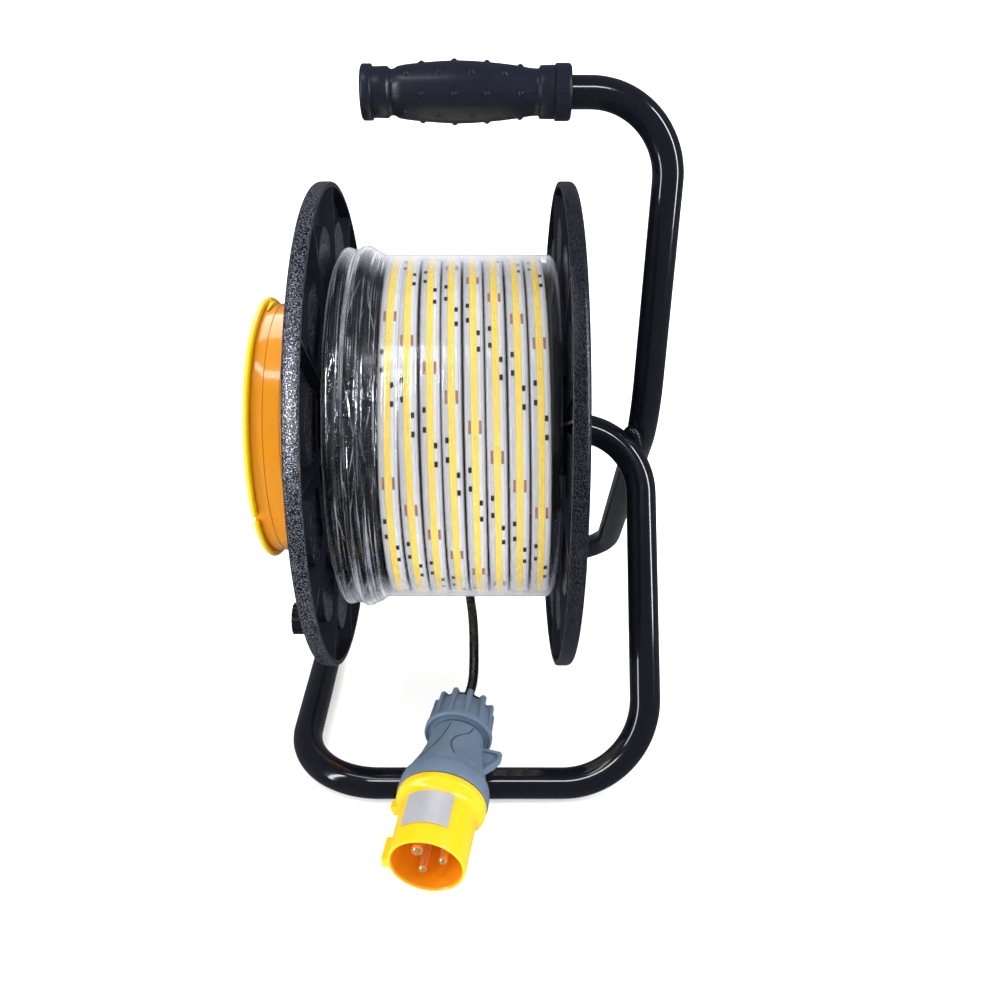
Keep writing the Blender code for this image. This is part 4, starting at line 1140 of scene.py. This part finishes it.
def make_plug(cable):
    """The whole plug; its pieces go on the stand's body."""
    place = plug_place()
    grey, yellow, brass = plug_grey_look(), plug_yellow_look(), brass_look()
    # Painted shade: the inside of the yellow shroud drawn deep orange, as the yellow looks in the cup's
    # hollow.
    inside_shade = plug_yellow_look("plug_inside_painted_shade", (0.93, 0.3, 0.004), (0.97, 0.36, 0.01))
    dark = plug_grey_look("plug_grey_seam", (0.03, 0.045, 0.07), (0.045, 0.062, 0.09))
    body, seams = make_plug_body(grey, dark, place)
    lug = make_ear(grey, place)
    cap, ribs, rubber = make_nut(grey, cable, place)
    cup = make_shroud(yellow, inside_shade, place)
    pins = [dress_node(name, brass) for name in ("pin_earth", "pin_line", "pin_neutral")]
    tips = make_pin_ends(brass, place)
    plate = dress_node("plug_label", label_look())
    return [body, lug, cap, ribs, rubber, cup, plate, tips, *pins, *seams]


# Floor and light

def make_floor():
    look = Look("floor_white", (0.86, 0.86, 0.86), roughness=0.6)
    look.base(look.blend(look.noise(6.0, 3.0), (0.855, 0.855, 0.86), (0.875, 0.875, 0.875)))
    shape = bmesh.new()
    profile = [(-3.0, 0.0), (1.6, 0.0)]
    for step in range(1, 13):
        angle = radians(90 * step / 12)
        profile.append((1.6 + 0.8 * sin(angle), 0.8 * (1 - cos(angle))))
    profile.append((2.4, 3.2))
    rows = [[shape.verts.new((x, y, z)) for x in (-4.0, 4.0)] for y, z in profile]
    for first, second in zip(rows, rows[1:]):
        shape.faces.new((first[0], first[1], second[1], second[0]))
    mesh = to_mesh(shape, "floor")
    floor = put_in_scene("floor", mesh)
    floor.location.z = -0.0002
    mesh.materials.append(look.material)
    mesh.shade_smooth()
    floor.visible_glossy = False


def area_light(name, place, target, size, power, shows=True, color=(1.0, 1.0, 1.0)):
    light = bpy.data.lights.new(name, "AREA")
    light.shape = "RECTANGLE"
    light.size, light.size_y = size
    light.energy = power
    light.color = color
    thing = put_in_scene(name, light)
    thing.location = place
    aim = Vector(target) - Vector(place)
    thing.rotation_euler = aim.to_track_quat("-Z", "Y").to_euler()
    thing.visible_glossy = shows
    return thing


def make_light():
    bpy.context.scene.view_settings.view_transform = "Standard"
    world = bpy.data.worlds.new("studio")
    bpy.context.scene.world = world
    world.use_nodes = True
    sky = world.node_tree.nodes["Background"]
    sky.inputs["Color"].default_value = (0.86, 0.91, 1.0, 1.0)
    sky.inputs["Strength"].default_value = 0.14
    area_light("fill_top", (0.0, 0.1, 1.7), (0.0, 0.1, 0.1), (2.6, 2.2), 26.0, False)
    area_light("fill_front", (0.0, -1.7, 1.0), REEL_MIDDLE, (2.2, 1.2), 15.0, False)
    area_light("backdrop_wash", (0.0, 0.9, 2.0), (0.0, 2.3, 0.4), (2.8, 0.8), 50.0, False)
    cool, cooler = (0.93, 0.96, 1.0), (0.9, 0.93, 1.0)
    area_light("window_left", (-1.15, -0.75, 0.65), REEL_MIDDLE, (0.14, 1.3), 10.0, True, cool)
    area_light("window_right", (1.1, -0.45, 0.8), (0.05, 0.0, 0.2), (0.12, 1.0), 10.0, True, cooler)
    area_light("overhead", (-0.5, -0.48, 1.55), (-0.1, 0.0, 0.2), (0.8, 0.14), 2.2)
    back = area_light("ceiling_back", (-0.25, 0.98, 1.5), (-0.1, 0.2, 0.2), (1.7, 1.1), 16.0)
    wash = area_light("floor_wash", (0.0, 0.0, 2.4), (0.0, 0.0, 0.0), (3.0, 3.0), 110.0, False)
    floor = collect("floor_only", [bpy.data.objects["floor"]])
    wash.light_linking.receiver_collection = floor
    wash.light_linking.blocker_collection = floor
    glint = area_light("film_glint", (-0.31, -1.15, 0.8), (-0.05, 0.0, 0.2), (0.12, 1.4), 13.0)
    rim = area_light("rim_glint", (-0.31, -1.15, 0.85), (-0.05, 0.0, 0.2), (0.14, 0.9), 13.0)
    sheen = area_light("film_sheen", (-0.2, -0.66, 1.44), (-0.03, -0.13, 0.25), (0.13, 0.45), 1.2)
    bar = area_light("bar_glint", (-0.05, -1.1, 1.4), (0.0, -0.15, 0.0), (0.9, 0.16), 9.0)
    linked = (
        (glint, ("stretch_wrap",)), (rim, ("rim_skin_left", "pad_skin_left")), (sheen, ("stretch_wrap",)),
        (bar, ("stand_bent_tube", "stand_weld", "lead")), (back, ("hub_cup", "hub_cup_rim")),
    )
    for light, names in linked:
        pieces = [thing for thing in bpy.data.objects if thing.name in names]
        light.light_linking.receiver_collection = collect(light.name + "_pieces", pieces)
    for name, across in (("flange_left", 0.7), ("flange_right", -0.7)):
        ribs = area_light("rib_light_" + name, (across, -1.0, 0.9), REEL_MIDDLE, (0.6, 0.6), 60.0, False)
        flange = collect("rib_light_" + name, [frame["nodes"][name]])
        ribs.light_linking.receiver_collection = flange
        ribs.light_linking.blocker_collection = flange


def main():
    make_camera()
    cable = cable_look()
    make_lead(cable, make_plug(cable))
    make_stand(steel_look())
    make_grip(grip_look())
    make_strip(strip_look(), chip_look(), tin_look(), core_look())
    make_cable(cable)
    make_film(film_look())
    # Painted light: the same grain in a lit copy with pale flecks for the left drum end and a shaded copy
    # with dark flecks for the right.
    lit_grain = grain_look("drum_grain_lit_copy", (0.3, 0.32, 0.4))
    shaded_grain = grain_look("drum_grain_shaded_copy", (0.095, 0.103, 0.135))
    make_drum(drum_look(), edge_highlight_look())
    make_rims((lit_grain, shaded_grain))
    make_pad_skins((lit_grain, shaded_grain))
    make_cover(cover_look(), plug_yellow_look("cover_rim_gloss", (1.0, 0.6, 0.0), (1.0, 0.7, 0.0)))
    make_floor()
    make_light()


main()
